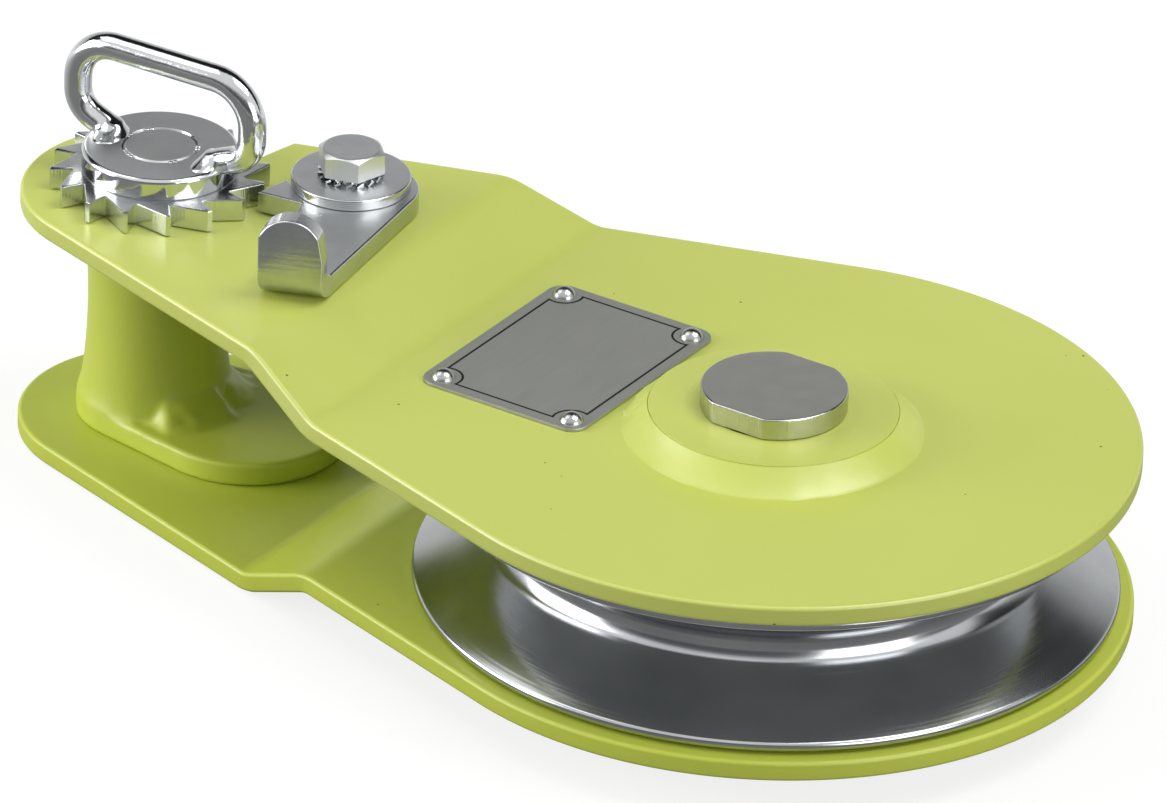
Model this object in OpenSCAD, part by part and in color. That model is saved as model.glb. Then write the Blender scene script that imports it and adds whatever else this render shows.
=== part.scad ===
// Side-opening snatch block: a grooved sheave between two joggled side plates,
// a sling drum at the narrow end, and a ratchet-locked screw that lets the
// upper plate swing aside. Millimetres. The origin is on the sheave axis, in
// the plane that the block lies on; the lock end points to -X, +Z is up.

/* [Side plates] */
// Thickness of both side plates
plate_t = 4.5; // [3:0.5:6]
// Distance from the sheave axis to the lock screw axis
axle_distance = 157; // [150:1:190]
// Radius of the plates round the sheave
sheave_end_r = 78; // [77:1:84]
// Radius of the plates round the lock screw
lock_end_r = 30; // [29:1:33]
// Clear gap between the plates at the drum
drum_gap = 49.8; // [46:0.2:56]
// How far each plate steps in towards the sheave
joggle = 8.9; // [8:0.1:10]
// Distance from the lock screw axis to the first bend
bend_start = 58; // [56:1:62]
// Length of the sloping part between the two bends
bend_run = 19; // [17:1:26]
// Bend radius at the middle of the plate
bend_r = 11; // [8:1:14]

/* [Axle] */
// Thread diameter at the lower end
axle_thread_d = 24; // [20:1:24]
// Diameter of the head and of the round nut
head_d = 31.2; // [31:0.1:34]
// Height of the head
head_h = 4.8; // [3:0.1:7]
// Width across the two flats of the head and nut
head_flats = 28.8; // [26:0.1:30]
// Outer radius of the rings welded round the axle
hub_r = 26.5; // [22:0.5:28]
// Height of the rings
hub_h = 5.2; // [4:0.1:6]
// Foot length of the weld round each ring
hub_weld = 4.6; // [2:0.1:5]
// Outer diameter of the pivot bush in the upper plate
bush_d = 30; // [29:0.5:32]

/* [Sheave] */
// Outer radius of the sheave
sheave_r = 75; // [72:0.5:76]
// Width of the sheave
sheave_w = 30.8; // [30:0.1:31.2]
// Radius at the bottom of the rope groove
groove_r = 56.5; // [54:0.5:60]
// Radius of the rope seat in the groove
rope_seat_r = 6; // [5:0.5:7]
// Angle of the groove flanks from the plane of the sheave
flank_angle = 28; // [26:1:30]
// Height of the straight edge of each rim
rim_edge = 2.4; // [2:0.1:3]
// Thickness of the web
web_t = 6; // [5:0.5:10]
// Outer radius of the sheave's hub
sheave_hub_r = 28.5; // [27.5:0.5:33]
// Wall under the rope groove
rim_wall = 5.4; // [5:0.2:8]

/* [Bearings] */
// Ball diameter
ball_d = 6.6; // [6:0.1:6.8]
// Balls in each bearing
ball_count = 10; // [8:1:11]
// Width of the spacer between the bearings
spacer_w = 2; // [1.8:0.1:2.4]
// Thickness of the retaining rings in the sheave
circlip_t = 1.75; // [1.5:0.05:1.9]

/* [Sling drum] */
// Radius at the waist of the drum
drum_waist_r = 15.1; // [14:0.1:16]
// Radius at the two ends of the drum
drum_end_r = 16.6; // [16:0.1:18]
// Thickness of the flange plate under the drum
flange_t = 5.4; // [4:0.1:7]
// Radius of the flange's round nose towards the sheave
flange_nose_r = 21.5; // [18:0.5:23]
// Distance from the drum axis to the centre of the nose
flange_reach = 24.3; // [20:0.1:27]
// Leg of the weld between drum and flange
drum_weld = 4; // [2:0.1:5]

/* [Lock screw] */
// Thread diameter
screw_d = 16; // [14:1:16]
// Thread pitch
screw_pitch = 2; // [1.5:0.5:2]
// Turns that the screw opens
screw_turns = 2; // [1:1:2]
// Diameter of the neck that passes through the plate's slot
neck_d = 13.5; // [12:0.5:14]
// Tip radius of the ratchet wheel
wheel_tip_r = 23.8; // [22.5:0.1:23.8]
// Radius at the foot of the teeth
wheel_root_r = 19; // [18:0.1:20]
// Number of ratchet teeth
tooth_count = 16; // [12:1:20]
// Thickness of the ratchet wheel
wheel_t = 5; // [4:0.1:5]
// Radius of the disc on the wheel
disc_r = 17; // [15:0.1:17.5]
// Height of the disc
disc_h = 4.9; // [4:0.1:7]
// Rod diameter of the loop handle
rod_d = 6.1; // [5:0.1:7]
// Half width of the handle at the rod's axis
handle_half_w = 22.4; // [20:0.1:24]
// Height of the handle at the rod's axis, over the disc
handle_h = 20.2; // [19:0.1:26]
// Upper bend radius of the handle
handle_bend_r = 9.6; // [7:0.1:10]
// Lower bend radius of the handle
handle_foot_r = 6.4; // [5:0.1:7]
// Distance from the screw axis to each foot
handle_foot_x = 12; // [11:0.1:13]

/* [Pawl] */
// Pivot position from the lock screw axis, along the block
pawl_x = 38.1; // [38.1:0.1:39]
// Pivot position from the lock screw axis, across the block
pawl_y = 17.2; // [16:0.1:18]
// Thickness of the pawl
pawl_t = 5; // [4.6:0.1:5.4]
// Radius of the pawl's round end
pawl_end_r = 12.6; // [12.4:0.1:12.8]
// Outer bend radius of the finger tab
tab_bend_r = 6.4; // [6:0.1:7.5]
// Height of the finger tab
tab_h = 19.4; // [16:0.1:21]
// Radius of the tab's top edge
tab_top_r = 7.3; // [7:0.1:10]
// Diameter of the post that the pawl turns on
post_d = 16; // [14:0.5:16]
// Thread diameter of the pivot bolt
bolt_d = 8; // [8:1:8]
// Diameter of the cover washer
cover_d = 26; // [24:0.5:26]
// Thickness of the cover washer
cover_t = 2.4; // [2:0.1:3]
// Wire diameter of the pawl spring
spring_wire = 1; // [0.8:0.1:1]

/* [Rating plate] */
// Size along the block
rating_x = 40.6; // [36:0.2:42]
// Size across the block
rating_y = 55; // [50:0.5:58]
// Thickness
rating_t = 0.8; // [0.6:0.1:1]
// Distance from the sheave axis to the middle of the rating plate
rating_from_axle = 51.4; // [51:0.1:56]
// Diameter of the dome rivet heads
rivet_d = 5.2; // [4.4:0.1:7]

/* [Hidden] */
$fn = 64;

// Bearings of a standard size, 25 x 47 x 12
axle_d = 25;
bearing_d = 47;
bearing_w = 12;

// Clearances
slide_gap = 0.1;   // flat faces that move past each other
run_gap = 0.05;    // radial, shaft in bore
seat_gap = 0.02;   // radial, pressed or seated pieces of one body
free_gap = 0.3;    // parts that must never touch
cut = 1;           // overshoot of cutting tools

// Levels
total_h = drum_gap + 2*plate_t;
mid_z = total_h/2;
drum_floor_z = plate_t;
drum_roof_z = total_h - plate_t;
lower_face_z = joggle;                      // outer face of the lower plate at the axle
lower_inner_z = joggle + plate_t;
upper_inner_z = total_h - joggle - plate_t;
upper_face_z = total_h - joggle;            // outer face of the upper plate at the axle
hub_top_z = upper_face_z + hub_h;
nut_least = 3;
lower_hub_h = min(hub_h, joggle - nut_least);
nut_h = joggle - lower_hub_h;
stack_w = 2*bearing_w + spacer_w;
stack_z = mid_z - stack_w/2;
washer_t = stack_z - lower_inner_z;

// Colours
paint = "#c9d672";
zinc = "#c3c6c9";
steel = "#9a9c9c";
polished = "#aeb2b4";
brass = "#b59a4e";
black_seal = "#303234";
dark_spring = "#6b6e70";

function polar(r, a) = [r*cos(a), r*sin(a)];
function arc(c, r, a0, a1, n) = [for (i = [0:n]) c + polar(r, a0 + (a1 - a0)*i/n)];

// ---------- side plates ----------

bend_angle = atan(joggle/bend_run);
bend_tangent = bend_r*tan(bend_angle/2);
bend_steps = 6;
bend_x1 = bend_start - axle_distance;
bend_x2 = bend_x1 + bend_run;

// One face of the joggled sheet, seen from the side; off is measured from the middle of the sheet
function joggle_line(off) = concat(
    [[-axle_distance - lock_end_r - cut, total_h - plate_t/2 + off]],
    [for (i = [0:bend_steps]) let (a = bend_angle*i/bend_steps)
        [bend_x1 - bend_tangent, total_h - plate_t/2 - bend_r] + (bend_r + off)*[sin(a), cos(a)]],
    [for (i = [0:bend_steps]) let (a = bend_angle*(1 - i/bend_steps))
        [bend_x2 + bend_tangent, upper_face_z - plate_t/2 + bend_r]
        - (bend_r - off)*[sin(a), cos(a)]],
    [[sheave_end_r + cut, upper_face_z - plate_t/2 + off]]);

function reversed(list) = [for (i = [len(list) - 1:-1:0]) list[i]];

module plate_outline() {
    lean = asin((sheave_end_r - lock_end_r)/axle_distance);
    circle(r = sheave_end_r, $fn = 128);
    translate([-axle_distance, 0]) circle(r = lock_end_r, $fn = 96);
    big = polar(sheave_end_r, 90 + lean);
    small = [-axle_distance, 0] + polar(lock_end_r, 90 + lean);
    polygon([big, small, [small.x, -small.y], [big.x, -big.y]]);
}

module joggled_blank() {
    intersection() {
        linear_extrude(total_h + cut) plate_outline();
        rotate([90, 0, 0])
            linear_extrude(2*(sheave_end_r + cut), center = true)
                polygon(concat(joggle_line(plate_t/2), reversed(joggle_line(-plate_t/2))));
    }
}

module flipped() {
    translate([0, 0, total_h]) mirror([0, 0, 1]) children();
}

module bore(d, z0, z1) {
    translate([0, 0, z0]) cylinder(d = d, h = z1 - z0);
}

module at_lock(z = 0) {
    translate([-axle_distance, 0, z]) children();
}

module at_pawl(z = 0) {
    at_lock(z) translate([pawl_x, pawl_y, 0]) children();
}

module lower_side_plate() {
    color(paint) difference() {
        flipped() joggled_blank();
        bore(axle_d, lower_face_z - cut, lower_inner_z + cut);
    }
}

slot_w = neck_d + 2*free_gap;
slot_sweep = 14;
rivet_hole_d = 3.2;
rivet_depth = 3.6;
rivet_inset = 4.1;

module upper_side_plate() {
    color(paint) difference() {
        joggled_blank();
        bore(bush_d, upper_inner_z - cut, upper_face_z + cut);
        // slot on an arc round the sheave axis, open at the far edge
        at_lock(drum_roof_z - cut) cylinder(d = slot_w, h = plate_t + 2*cut);
        translate([0, 0, drum_roof_z - cut]) rotate([0, 0, 180 - slot_sweep])
            rotate_extrude(angle = slot_sweep)
                translate([axle_distance - slot_w/2, 0]) square([slot_w, plate_t + 2*cut]);
        at_pawl(drum_roof_z - cut) cylinder(d = post_d, h = plate_t + 2*cut);
        rivet_places() translate([0, 0, upper_face_z - rivet_depth])
            cylinder(d = rivet_hole_d, h = rivet_depth + cut, $fn = 24);
    }
}

// ---------- axle, hubs and bush ----------

hub_weld_swell = 0.56;    // how far the weld's face bulges
hub_weld_drop = 0.3;      // from the ring's edge down to the weld

module hub_ring(bore_d, h) {
    difference() {
        cylinder(r = hub_r, h = h);
        translate([0, 0, -cut]) cylinder(d = bore_d, h = h + 2*cut);
    }
}

// Weld round a ring: a shallow convex fillet that starts just under the ring's edge
module hub_fillet(h) {
    foot = hub_r + hub_weld;
    top = h - hub_weld_drop;
    rotate_extrude() polygon(concat(
        [[hub_r, 0]], [[foot, 0]],
        [for (i = [1:5]) let (t = i/6)
            [foot - hub_weld*t, top*t] + hub_weld_swell*sin(180*t)*[1, 1]],
        [[hub_r, top]]));
}

module lower_hub_ring() {
    color(paint) translate([0, 0, nut_h]) hub_ring(axle_thread_d, lower_hub_h);
}

module lower_hub_weld() {
    color(paint) translate([0, 0, joggle]) mirror([0, 0, 1]) hub_fillet(lower_hub_h);
}

module upper_hub_ring() {
    color(paint) translate([0, 0, upper_face_z]) hub_ring(bush_d, hub_h);
}

module upper_hub_weld() {
    color(paint) translate([0, 0, upper_face_z]) hub_fillet(hub_h);
}

module pivot_bush() {
    color(brass) translate([0, 0, upper_inner_z]) difference() {
        cylinder(d = bush_d, h = plate_t + hub_h);
        translate([0, 0, -cut]) cylinder(d = axle_d + 2*run_gap, h = plate_t + hub_h + 2*cut);
    }
}

head_bevel = 0.5;

// Round plate with two flats, bevelled on its outer face
module flatted_disc(h) {
    intersection() {
        union() {
            cylinder(d = head_d, h = h - head_bevel);
            translate([0, 0, h - head_bevel])
                cylinder(d1 = head_d, d2 = head_d - 2*head_bevel, h = head_bevel);
        }
        translate([-head_d, -head_flats/2, -cut]) cube([2*head_d, head_flats, h + 2*cut]);
    }
}

module axle() {
    head_z = hub_top_z + slide_gap;
    color(steel) {
        translate([0, 0, head_z]) flatted_disc(head_h);
        translate([0, 0, lower_face_z]) cylinder(d = axle_d, h = head_z - lower_face_z);
        cylinder(d = axle_thread_d, h = lower_face_z);
    }
}

module axle_nut() {
    color(zinc) difference() {
        translate([0, 0, nut_h]) mirror([0, 0, 1]) flatted_disc(nut_h);
        bore(axle_thread_d, -cut, nut_h + cut);
    }
}

// ---------- bearings ----------

race_share = 0.2545;      // wall of each ring as a share of the bearing's section
race_wall = race_share*(bearing_d - axle_d)/2;
inner_shoulder_r = axle_d/2 + race_wall;
outer_shoulder_r = bearing_d/2 - race_wall;
pitch_r = (axle_d + bearing_d)/4;
race_r = ball_d/2 + run_gap;
seal_t = 0.9;
seal_inset = 0.3;
cage_half = 4.3;
cage_wall = 1.5;
bearing_z = [stack_z, stack_z + bearing_w + spacer_w];

module ring_solid(r0, r1, h) {
    difference() {
        cylinder(r = r1, h = h);
        translate([0, 0, -cut]) cylinder(r = r0, h = h + 2*cut);
    }
}

// A bearing ring between two radii, with the ball track turned into it
module race(r0, r1, z) {
    color(polished) translate([0, 0, z]) difference() {
        ring_solid(r0, r1, bearing_w);
        translate([0, 0, bearing_w/2]) rotate_extrude() translate([pitch_r, 0]) circle(r = race_r);
    }
}

module lower_inner_ring() { race(axle_d/2, inner_shoulder_r, bearing_z[0]); }
module upper_inner_ring() { race(axle_d/2, inner_shoulder_r, bearing_z[1]); }
module lower_outer_ring() { race(outer_shoulder_r, bearing_d/2, bearing_z[0]); }
module upper_outer_ring() { race(outer_shoulder_r, bearing_d/2, bearing_z[1]); }

module inner_spacer() {
    color(steel) translate([0, 0, stack_z + bearing_w]) ring_solid(axle_d/2, inner_shoulder_r, spacer_w);
}

module each_bearing_middle() {
    for (z = bearing_z) translate([0, 0, z + bearing_w/2]) children();
}

module bearing_balls() {
    color(polished) each_bearing_middle()
        for (i = [0:ball_count - 1]) rotate([0, 0, 360*i/ball_count])
            translate([pitch_r, 0, 0]) sphere(d = ball_d, $fn = 24);
}

module bearing_cages() {
    color(brass) each_bearing_middle() difference() {
        translate([0, 0, -cage_half])
            ring_solid(pitch_r - cage_wall/2, pitch_r + cage_wall/2, 2*cage_half);
        for (i = [0:ball_count - 1]) rotate([0, 0, 360*i/ball_count])
            rotate([0, 90, 0]) cylinder(d = ball_d + 2*run_gap, h = bearing_d, $fn = 32);
    }
}

module seal(z) {
    color(black_seal) translate([0, 0, z])
        ring_solid(inner_shoulder_r + free_gap, outer_shoulder_r, seal_t);
}

module lower_seal() { seal(bearing_z[0] + seal_inset); }
module upper_seal() { seal(bearing_z[1] + bearing_w - seal_inset - seal_t); }

washer_rim = 0.6;
washer_r = inner_shoulder_r + washer_rim;

module lower_thrust_washer() {
    color(steel) translate([0, 0, lower_inner_z]) ring_solid(axle_d/2, washer_r, washer_t);
}

module upper_thrust_washer() {
    color(steel) translate([0, 0, stack_z + stack_w])
        ring_solid(axle_d/2, washer_r, washer_t - slide_gap);
}

// ---------- sheave ----------

sheave_z = mid_z - sheave_w/2;
circlip_groove_depth = 1.25;
circlip_reach = 2.6;     // how far the ring stands into the bore
circlip_groove_r = bearing_d/2 + circlip_groove_depth;
circlip_inner_r = bearing_d/2 - circlip_reach;
circlip_opening = 24;    // angle left open between the two ears
ear_angle = circlip_opening/2 + 1;
ear_r = 2.1;
ear_hole_d = 1.8;
rim_round = 0.9;
hub_corner = 3;
groove_steps = 10;

// Half of the sheave's outline, from the middle of the groove to the outer face
function sheave_half(seat_c, tangent_a) = concat(
    [for (i = [0:groove_steps/2]) let (a = 180 - (180 - tangent_a)*i/(groove_steps/2))
        [seat_c + rope_seat_r*cos(a), rope_seat_r*sin(a)]],
    arc([sheave_r - rim_round, sheave_w/2 - rim_edge + rim_round], rim_round, -90 + flank_angle, 0, 3),
    arc([sheave_r - rim_round, sheave_w/2 - rim_round], rim_round, 0, 90, 3));

function mirrored(list) = [for (p = reversed(list)) [p.x, -p.y]];

module sheave_profile() {
    tangent_a = 90 + flank_angle;
    seat_c = groove_r + rope_seat_r;
    half = sheave_half(seat_c, tangent_a);
    // the recess on each side follows the groove at the thickness of the rim wall
    web_z = web_t/2;
    wall_in = [groove_r - rim_wall, web_z];
    wall_out = [seat_c, 0] + (rope_seat_r + rim_wall)*[cos(tangent_a), sin(tangent_a)];
    wall_rise = sheave_w/2 + cut - wall_out.y;
    difference() {
        polygon(concat([[axle_d/2, -sheave_w/2]], mirrored(half), half, [[axle_d/2, sheave_w/2]]));
        for (s = [-1, 1])
            polygon([[sheave_hub_r, s*(sheave_w/2 + cut)], [sheave_hub_r, s*(web_z + hub_corner)],
                [sheave_hub_r + hub_corner, s*web_z], [wall_in.x - hub_corner, s*web_z],
                [wall_in.x, s*(web_z + hub_corner)], [wall_out.x, s*wall_out.y],
                [wall_out.x + wall_rise/tan(flank_angle), s*(sheave_w/2 + cut)]]);
        // bearing seats on both sides of a narrow land
        for (s = [-1, 1]) translate([0, s > 0 ? spacer_w/2 : -spacer_w/2 - sheave_w])
            square([bearing_d/2, sheave_w]);
        square([2*outer_shoulder_r, sheave_w], center = true);
        for (s = [-1, 1]) translate([0, s*(stack_w/2 + circlip_t/2)])
            square([2*circlip_groove_r, circlip_t + 2*seat_gap], center = true);
    }
}

module sheave() {
    color(polished) translate([0, 0, mid_z]) rotate_extrude($fn = 128) sheave_profile();
}

module circlip(z) {
    color(dark_spring) translate([0, 0, z]) difference() {
        union() {
            rotate([0, 0, circlip_opening/2]) rotate_extrude(angle = 360 - circlip_opening)
                translate([circlip_inner_r, 0])
                    square([circlip_groove_r - seat_gap - circlip_inner_r, circlip_t]);
            for (s = [-1, 1]) rotate([0, 0, s*ear_angle])
                translate([circlip_inner_r, 0, 0]) cylinder(r = ear_r, h = circlip_t, $fn = 24);
        }
        for (s = [-1, 1]) rotate([0, 0, s*ear_angle])
            translate([circlip_inner_r, 0, -cut])
                cylinder(d = ear_hole_d, h = circlip_t + 2*cut, $fn = 24);
    }
}

module lower_circlip() { circlip(stack_z - circlip_t); }
module upper_circlip() { circlip(stack_z + stack_w); }

// ---------- sling drum ----------

screw_lift = screw_pitch*screw_turns;
drum_top_z = drum_roof_z - slide_gap;
stop_t = 2;
stop_r = 11.5;
stop_rise = 6;
stop_z = drum_floor_z + stop_rise;      // underside of the stop washer
thread_end_z = stop_z + stop_t + screw_lift + 2*slide_gap;
drum_cavity_r = 12;
drum_steps = 12;
flange_top_z = drum_floor_z + flange_t;
drum_half_h = (drum_top_z - flange_top_z)/2;
drum_bow = drum_end_r - drum_waist_r;
drum_arc_r = (pow(drum_half_h, 2) + pow(drum_bow, 2))/(2*drum_bow);

module sling_drum() {
    drum_mid = flange_top_z + drum_half_h;
    sweep = asin(drum_half_h/drum_arc_r);
    color(paint) at_lock() difference() {
        rotate_extrude() polygon(concat([[0, flange_top_z]],
            arc([drum_waist_r + drum_arc_r, drum_mid], drum_arc_r, 180 + sweep, 180 - sweep, drum_steps),
            [[0, drum_top_z]]));
        translate([0, 0, thread_end_z]) cylinder(d = screw_d, h = total_h);
        translate([0, 0, flange_top_z - cut])
            cylinder(r = drum_cavity_r, h = thread_end_z - flange_top_z + cut);
    }
}

// Plan of the flange: as round as the drum at its back, and running out to a wide round nose
module flange_outline() {
    lean = asin((flange_nose_r - drum_end_r)/flange_reach);
    circle(r = drum_end_r);
    translate([flange_reach, 0]) circle(r = flange_nose_r);
    nose = [flange_reach, 0] + polar(flange_nose_r, 90 + lean);
    tail = polar(drum_end_r, 90 + lean);
    polygon([nose, tail, [tail.x, -tail.y], [nose.x, -nose.y]]);
}

module drum_flange() {
    color(paint) at_lock(drum_floor_z) difference() {
        linear_extrude(flange_t) flange_outline();
        translate([0, 0, -cut]) cylinder(r = drum_cavity_r, h = flange_t + 2*cut);
    }
}

// The weld lies where the flange is wider than the drum; its section is kept a hair off the drum
weld_half_angle = 62;
weld_top = drum_weld + 0.6;
weld_toe = 0.3;           // blunt upper toe
weld_hair = 0.04;
weld_face = [0.62, 0.55]; // corner between the weld's two faces, as a share of its leg

function drum_radius(h) =
    drum_waist_r + drum_arc_r - sqrt(pow(drum_arc_r, 2) - pow(drum_half_h - h, 2));
function weld_inner(h) = [drum_radius(h) + weld_hair, h];

module drum_weld_bead() {
    color(paint) at_lock(flange_top_z) rotate([0, 0, -weld_half_angle])
        rotate_extrude(angle = 2*weld_half_angle)
            polygon([weld_inner(0), [drum_end_r + drum_weld, 0],
                drum_weld*weld_face + [drum_end_r, 0], weld_inner(weld_top) + [weld_toe, 0],
                weld_inner(weld_top), weld_inner(weld_top/2)]);
}

// ---------- lock screw ----------

wheel_gap = 0.15;
wheel_z = total_h + wheel_gap;
disc_z = wheel_z + wheel_t;
disc_top_z = disc_z + disc_h;
neck_len = plate_t + screw_lift + 2*free_gap;
neck_z = total_h - neck_len;
pin_d = 10;
pin_tail = 2.4;
pin_end_z = stop_z - pin_tail;
screw_clip_t = 1;
screw_clip_rim = 2.5;

module lock_screw() {
    color(zinc) at_lock() {
        translate([0, 0, pin_end_z]) cylinder(d = pin_d, h = stop_z + stop_t - pin_end_z);
        translate([0, 0, stop_z + stop_t])
            cylinder(d = screw_d - 2*run_gap, h = neck_z - stop_z - stop_t);
        translate([0, 0, neck_z]) cylinder(d = neck_d, h = wheel_z - neck_z);
        translate([0, 0, wheel_z]) cylinder(d = screw_d, h = disc_top_z - wheel_z);
    }
}

module stop_washer() {
    color(steel) at_lock(stop_z) ring_solid(pin_d/2 + run_gap, stop_r, stop_t - slide_gap);
}

module screw_circlip() {
    color(dark_spring) at_lock(stop_z - screw_clip_t - slide_gap)
        ring_solid(pin_d/2, pin_d/2 + screw_clip_rim, screw_clip_t);
}

// Ratchet tooth: a narrow land, a radial face on the loosening side and a long sloping back
tooth_phase = -4.5;
land_angle = 2.6;
foot_angle = 1.6;
face_angle = 0.6;         // undercut of the radial face

module ratchet_wheel() {
    pitch = 360/tooth_count;
    color(zinc) at_lock(wheel_z) difference() {
        linear_extrude(wheel_t) polygon([for (i = [0:tooth_count - 1])
            let (a = tooth_phase + pitch*i)
            each [polar(wheel_tip_r, a - land_angle), polar(wheel_tip_r, a),
                polar(wheel_root_r, a + face_angle), polar(wheel_root_r, a + face_angle + foot_angle)]]);
        translate([0, 0, -cut]) cylinder(d = screw_d, h = wheel_t + 2*cut);
    }
}

disc_bevel = 1.1;

module lock_disc() {
    color(zinc) at_lock(disc_z) difference() {
        union() {
            cylinder(r = disc_r, h = disc_h - disc_bevel);
            translate([0, 0, disc_h - disc_bevel])
                cylinder(r1 = disc_r, r2 = disc_r - disc_bevel, h = disc_bevel);
        }
        translate([0, 0, -cut]) cylinder(d = screw_d, h = disc_h + 2*cut);
    }
}

// ---------- loop handle ----------

// The rod runs in one upright plane: down from the bar, round the lower bend,
// then inwards on a slope to a foot on the disc
handle_yaw = 1.5;
handle_shift = 1;         // the loop stands a little off the screw axis
foot_slope = 22;
foot_bend = 90 - foot_slope;
foot_arc_x = handle_half_w - handle_foot_r;
foot_sink = 2.5;
foot_leg_len = (foot_arc_x + handle_foot_r*sin(foot_slope) - handle_foot_x)/cos(foot_slope) + foot_sink;
foot_end_h = -0.4;
foot_arc_h = foot_end_h + foot_leg_len*sin(foot_slope) + handle_foot_r*cos(foot_slope);

// Straight runs are a hair thinner than the bends and lap into them, so that the pieces fuse cleanly
bend_swell = 0.02;
bend_lap = 0.2;

module rod_bend(c, r, a0, sweep) {
    translate([c.x, c.y, 0]) rotate([0, 0, a0]) rotate_extrude(angle = sweep)
        translate([r, 0]) circle(d = rod_d, $fn = 32);
}

// Straight run from p in direction a, with a lap at its start and one at its end
module rod_run(p, len, a, end_lap = bend_lap) {
    translate([p.x, p.y, 0]) rotate([0, 0, a]) translate([-bend_lap, 0, 0]) rotate([0, 90, 0])
        cylinder(d = rod_d - bend_swell, h = bend_lap + len + end_lap, $fn = 32);
}

module rod_side() {
    top_c = [handle_half_w - handle_bend_r, handle_h - handle_bend_r];
    foot_c = [foot_arc_x, foot_arc_h];
    rod_bend(top_c, handle_bend_r, 0, 90);
    rod_run([handle_half_w, foot_arc_h], top_c.y - foot_arc_h, 90);
    rod_bend(foot_c, handle_foot_r, -foot_bend, foot_bend);
    rod_run(foot_c + polar(handle_foot_r, -foot_bend), foot_leg_len, 180 + foot_slope, 0);
}

module whole_rod() {
    bar_half = handle_half_w - handle_bend_r;
    rod_side();
    mirror([1, 0, 0]) rod_side();
    rod_run([-bar_half, handle_h], 2*bar_half, 0);
}

module on_disc() {
    at_lock(disc_top_z) rotate([0, 0, handle_yaw]) translate([handle_shift, 0, 0]) children();
}

module lock_handle() {
    below = 10;
    color(zinc) difference() {
        on_disc() rotate([90, 0, 0]) whole_rod();
        at_lock(disc_top_z - below) cylinder(r = disc_r, h = below);
    }
}

// Welded neck round each foot: a wide base that draws in towards the rod
neck_base_r = 4.8;
neck_h = 3;
neck_inset = 1;           // from the foot towards the screw axis
neck_profile = [[0, 0], [1, 0], [0.8, 0.3], [0.68, 0.75], [0.5, 1], [0, 1]];

module handle_welds() {
    color(zinc) difference() {
        on_disc() for (s = [-1, 1]) translate([s*(handle_foot_x - neck_inset), 0, 0])
            rotate_extrude() polygon([for (p = neck_profile) [p.x*neck_base_r, p.y*neck_h]]);
        on_disc() rotate([90, 0, 0]) whole_rod();
    }
}

// ---------- pawl ----------

// The pawl is drawn from its pivot in the frame of its finger tab: x runs along the
// tab's bend line, and -y runs from the pivot to the tab
pawl_gap = 0.2;
pawl_z = total_h + pawl_gap;
pawl_top_z = pawl_z + pawl_t;
pivot = [pawl_x, pawl_y];
tab_turn = 20.8;                  // turn of the bend line from +X
tab_face = 48.2;                  // distance from the pivot to the tab's outer face
tab_span = [-9.2, 5.8];           // extent of the tab along the bend line, before the edge is cut
tab_top_x = 3.2;                  // right end of the tab's top
tab_crown_x = -2.3;               // middle of the arched top
bend_begin = tab_face - tab_bend_r;
edge_lean = 8;                    // lean of the long straight edge
heel = [2.3, 0.3];                // shift of the round end's second centre
nose = [24, 2.4];                 // corners of the nose, from the lock screw axis
nose_root = [34.4, 3.6];
nose_back = [25.7, 11.3];
pocket_r = 11.2;
pocket_depth = 3.4;
edge_len = 90;

function turned(p) = [p.x*cos(tab_turn) + p.y*sin(tab_turn), p.y*cos(tab_turn) - p.x*sin(tab_turn)];

edge_start = turned(heel + polar(pawl_end_r, edge_lean));
edge_dir = turned([sin(edge_lean), -cos(edge_lean)]);
edge_at_bend = edge_start + edge_dir*(-bend_begin - edge_start.y)/edge_dir.y;

module pawl_plan() {
    side = turned(polar(pawl_end_r, 90 - edge_lean));
    circle(r = pawl_end_r);
    translate(turned(heel)) circle(r = pawl_end_r);
    polygon([side, turned(heel) + side, turned(heel) - side, -side]);
    polygon([[0, 0], turned(nose_back - pivot), turned(nose - pivot), turned(nose_root - pivot),
        [tab_span[0], -bend_begin], edge_at_bend, edge_start, turned(heel)]);
}

// Outline of the upright tab: straight sides that close in a little, and an arched top
module tab_outline() {
    crown = [tab_crown_x, tab_h - tab_top_r];
    intersection() {
        polygon([[tab_span[0], tab_bend_r], [tab_span[1], tab_bend_r], [tab_top_x, tab_h],
            [tab_span[0], tab_h]]);
        union() {
            translate(crown) circle(r = tab_top_r);
            translate([-tab_h, 0]) square([2*tab_h, crown.y]);
        }
    }
}

module pawl_tab() {
    translate([tab_span[0], -bend_begin, tab_bend_r]) rotate([0, 90, 0]) rotate([0, 0, -90])
        rotate_extrude(angle = 90) translate([tab_bend_r - pawl_t, 0])
            square([pawl_t, tab_span[1] - tab_span[0]]);
    translate([0, pawl_t - tab_face, 0]) rotate([90, 0, 0]) linear_extrude(pawl_t) tab_outline();
}

module pawl() {
    far = edge_len*[-1, 0];
    color(zinc) at_pawl(pawl_z) difference() {
        rotate([0, 0, tab_turn]) intersection() {
            union() {
                linear_extrude(pawl_t) pawl_plan();
                pawl_tab();
            }
            // one straight cut trims blade, bend and tab along the outer edge
            linear_extrude(tab_h + cut) polygon([edge_start - edge_dir*edge_len,
                edge_start + edge_dir*edge_len, edge_start + edge_dir*edge_len + far,
                edge_start - edge_dir*edge_len + far]);
        }
        translate([0, 0, -cut]) cylinder(d = post_d + 2*run_gap, h = pawl_t + 2*cut);
        translate([0, 0, pawl_t - pocket_depth]) cylinder(r = pocket_r, h = pocket_depth + cut);
    }
}

// ---------- pawl pivot ----------

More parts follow.
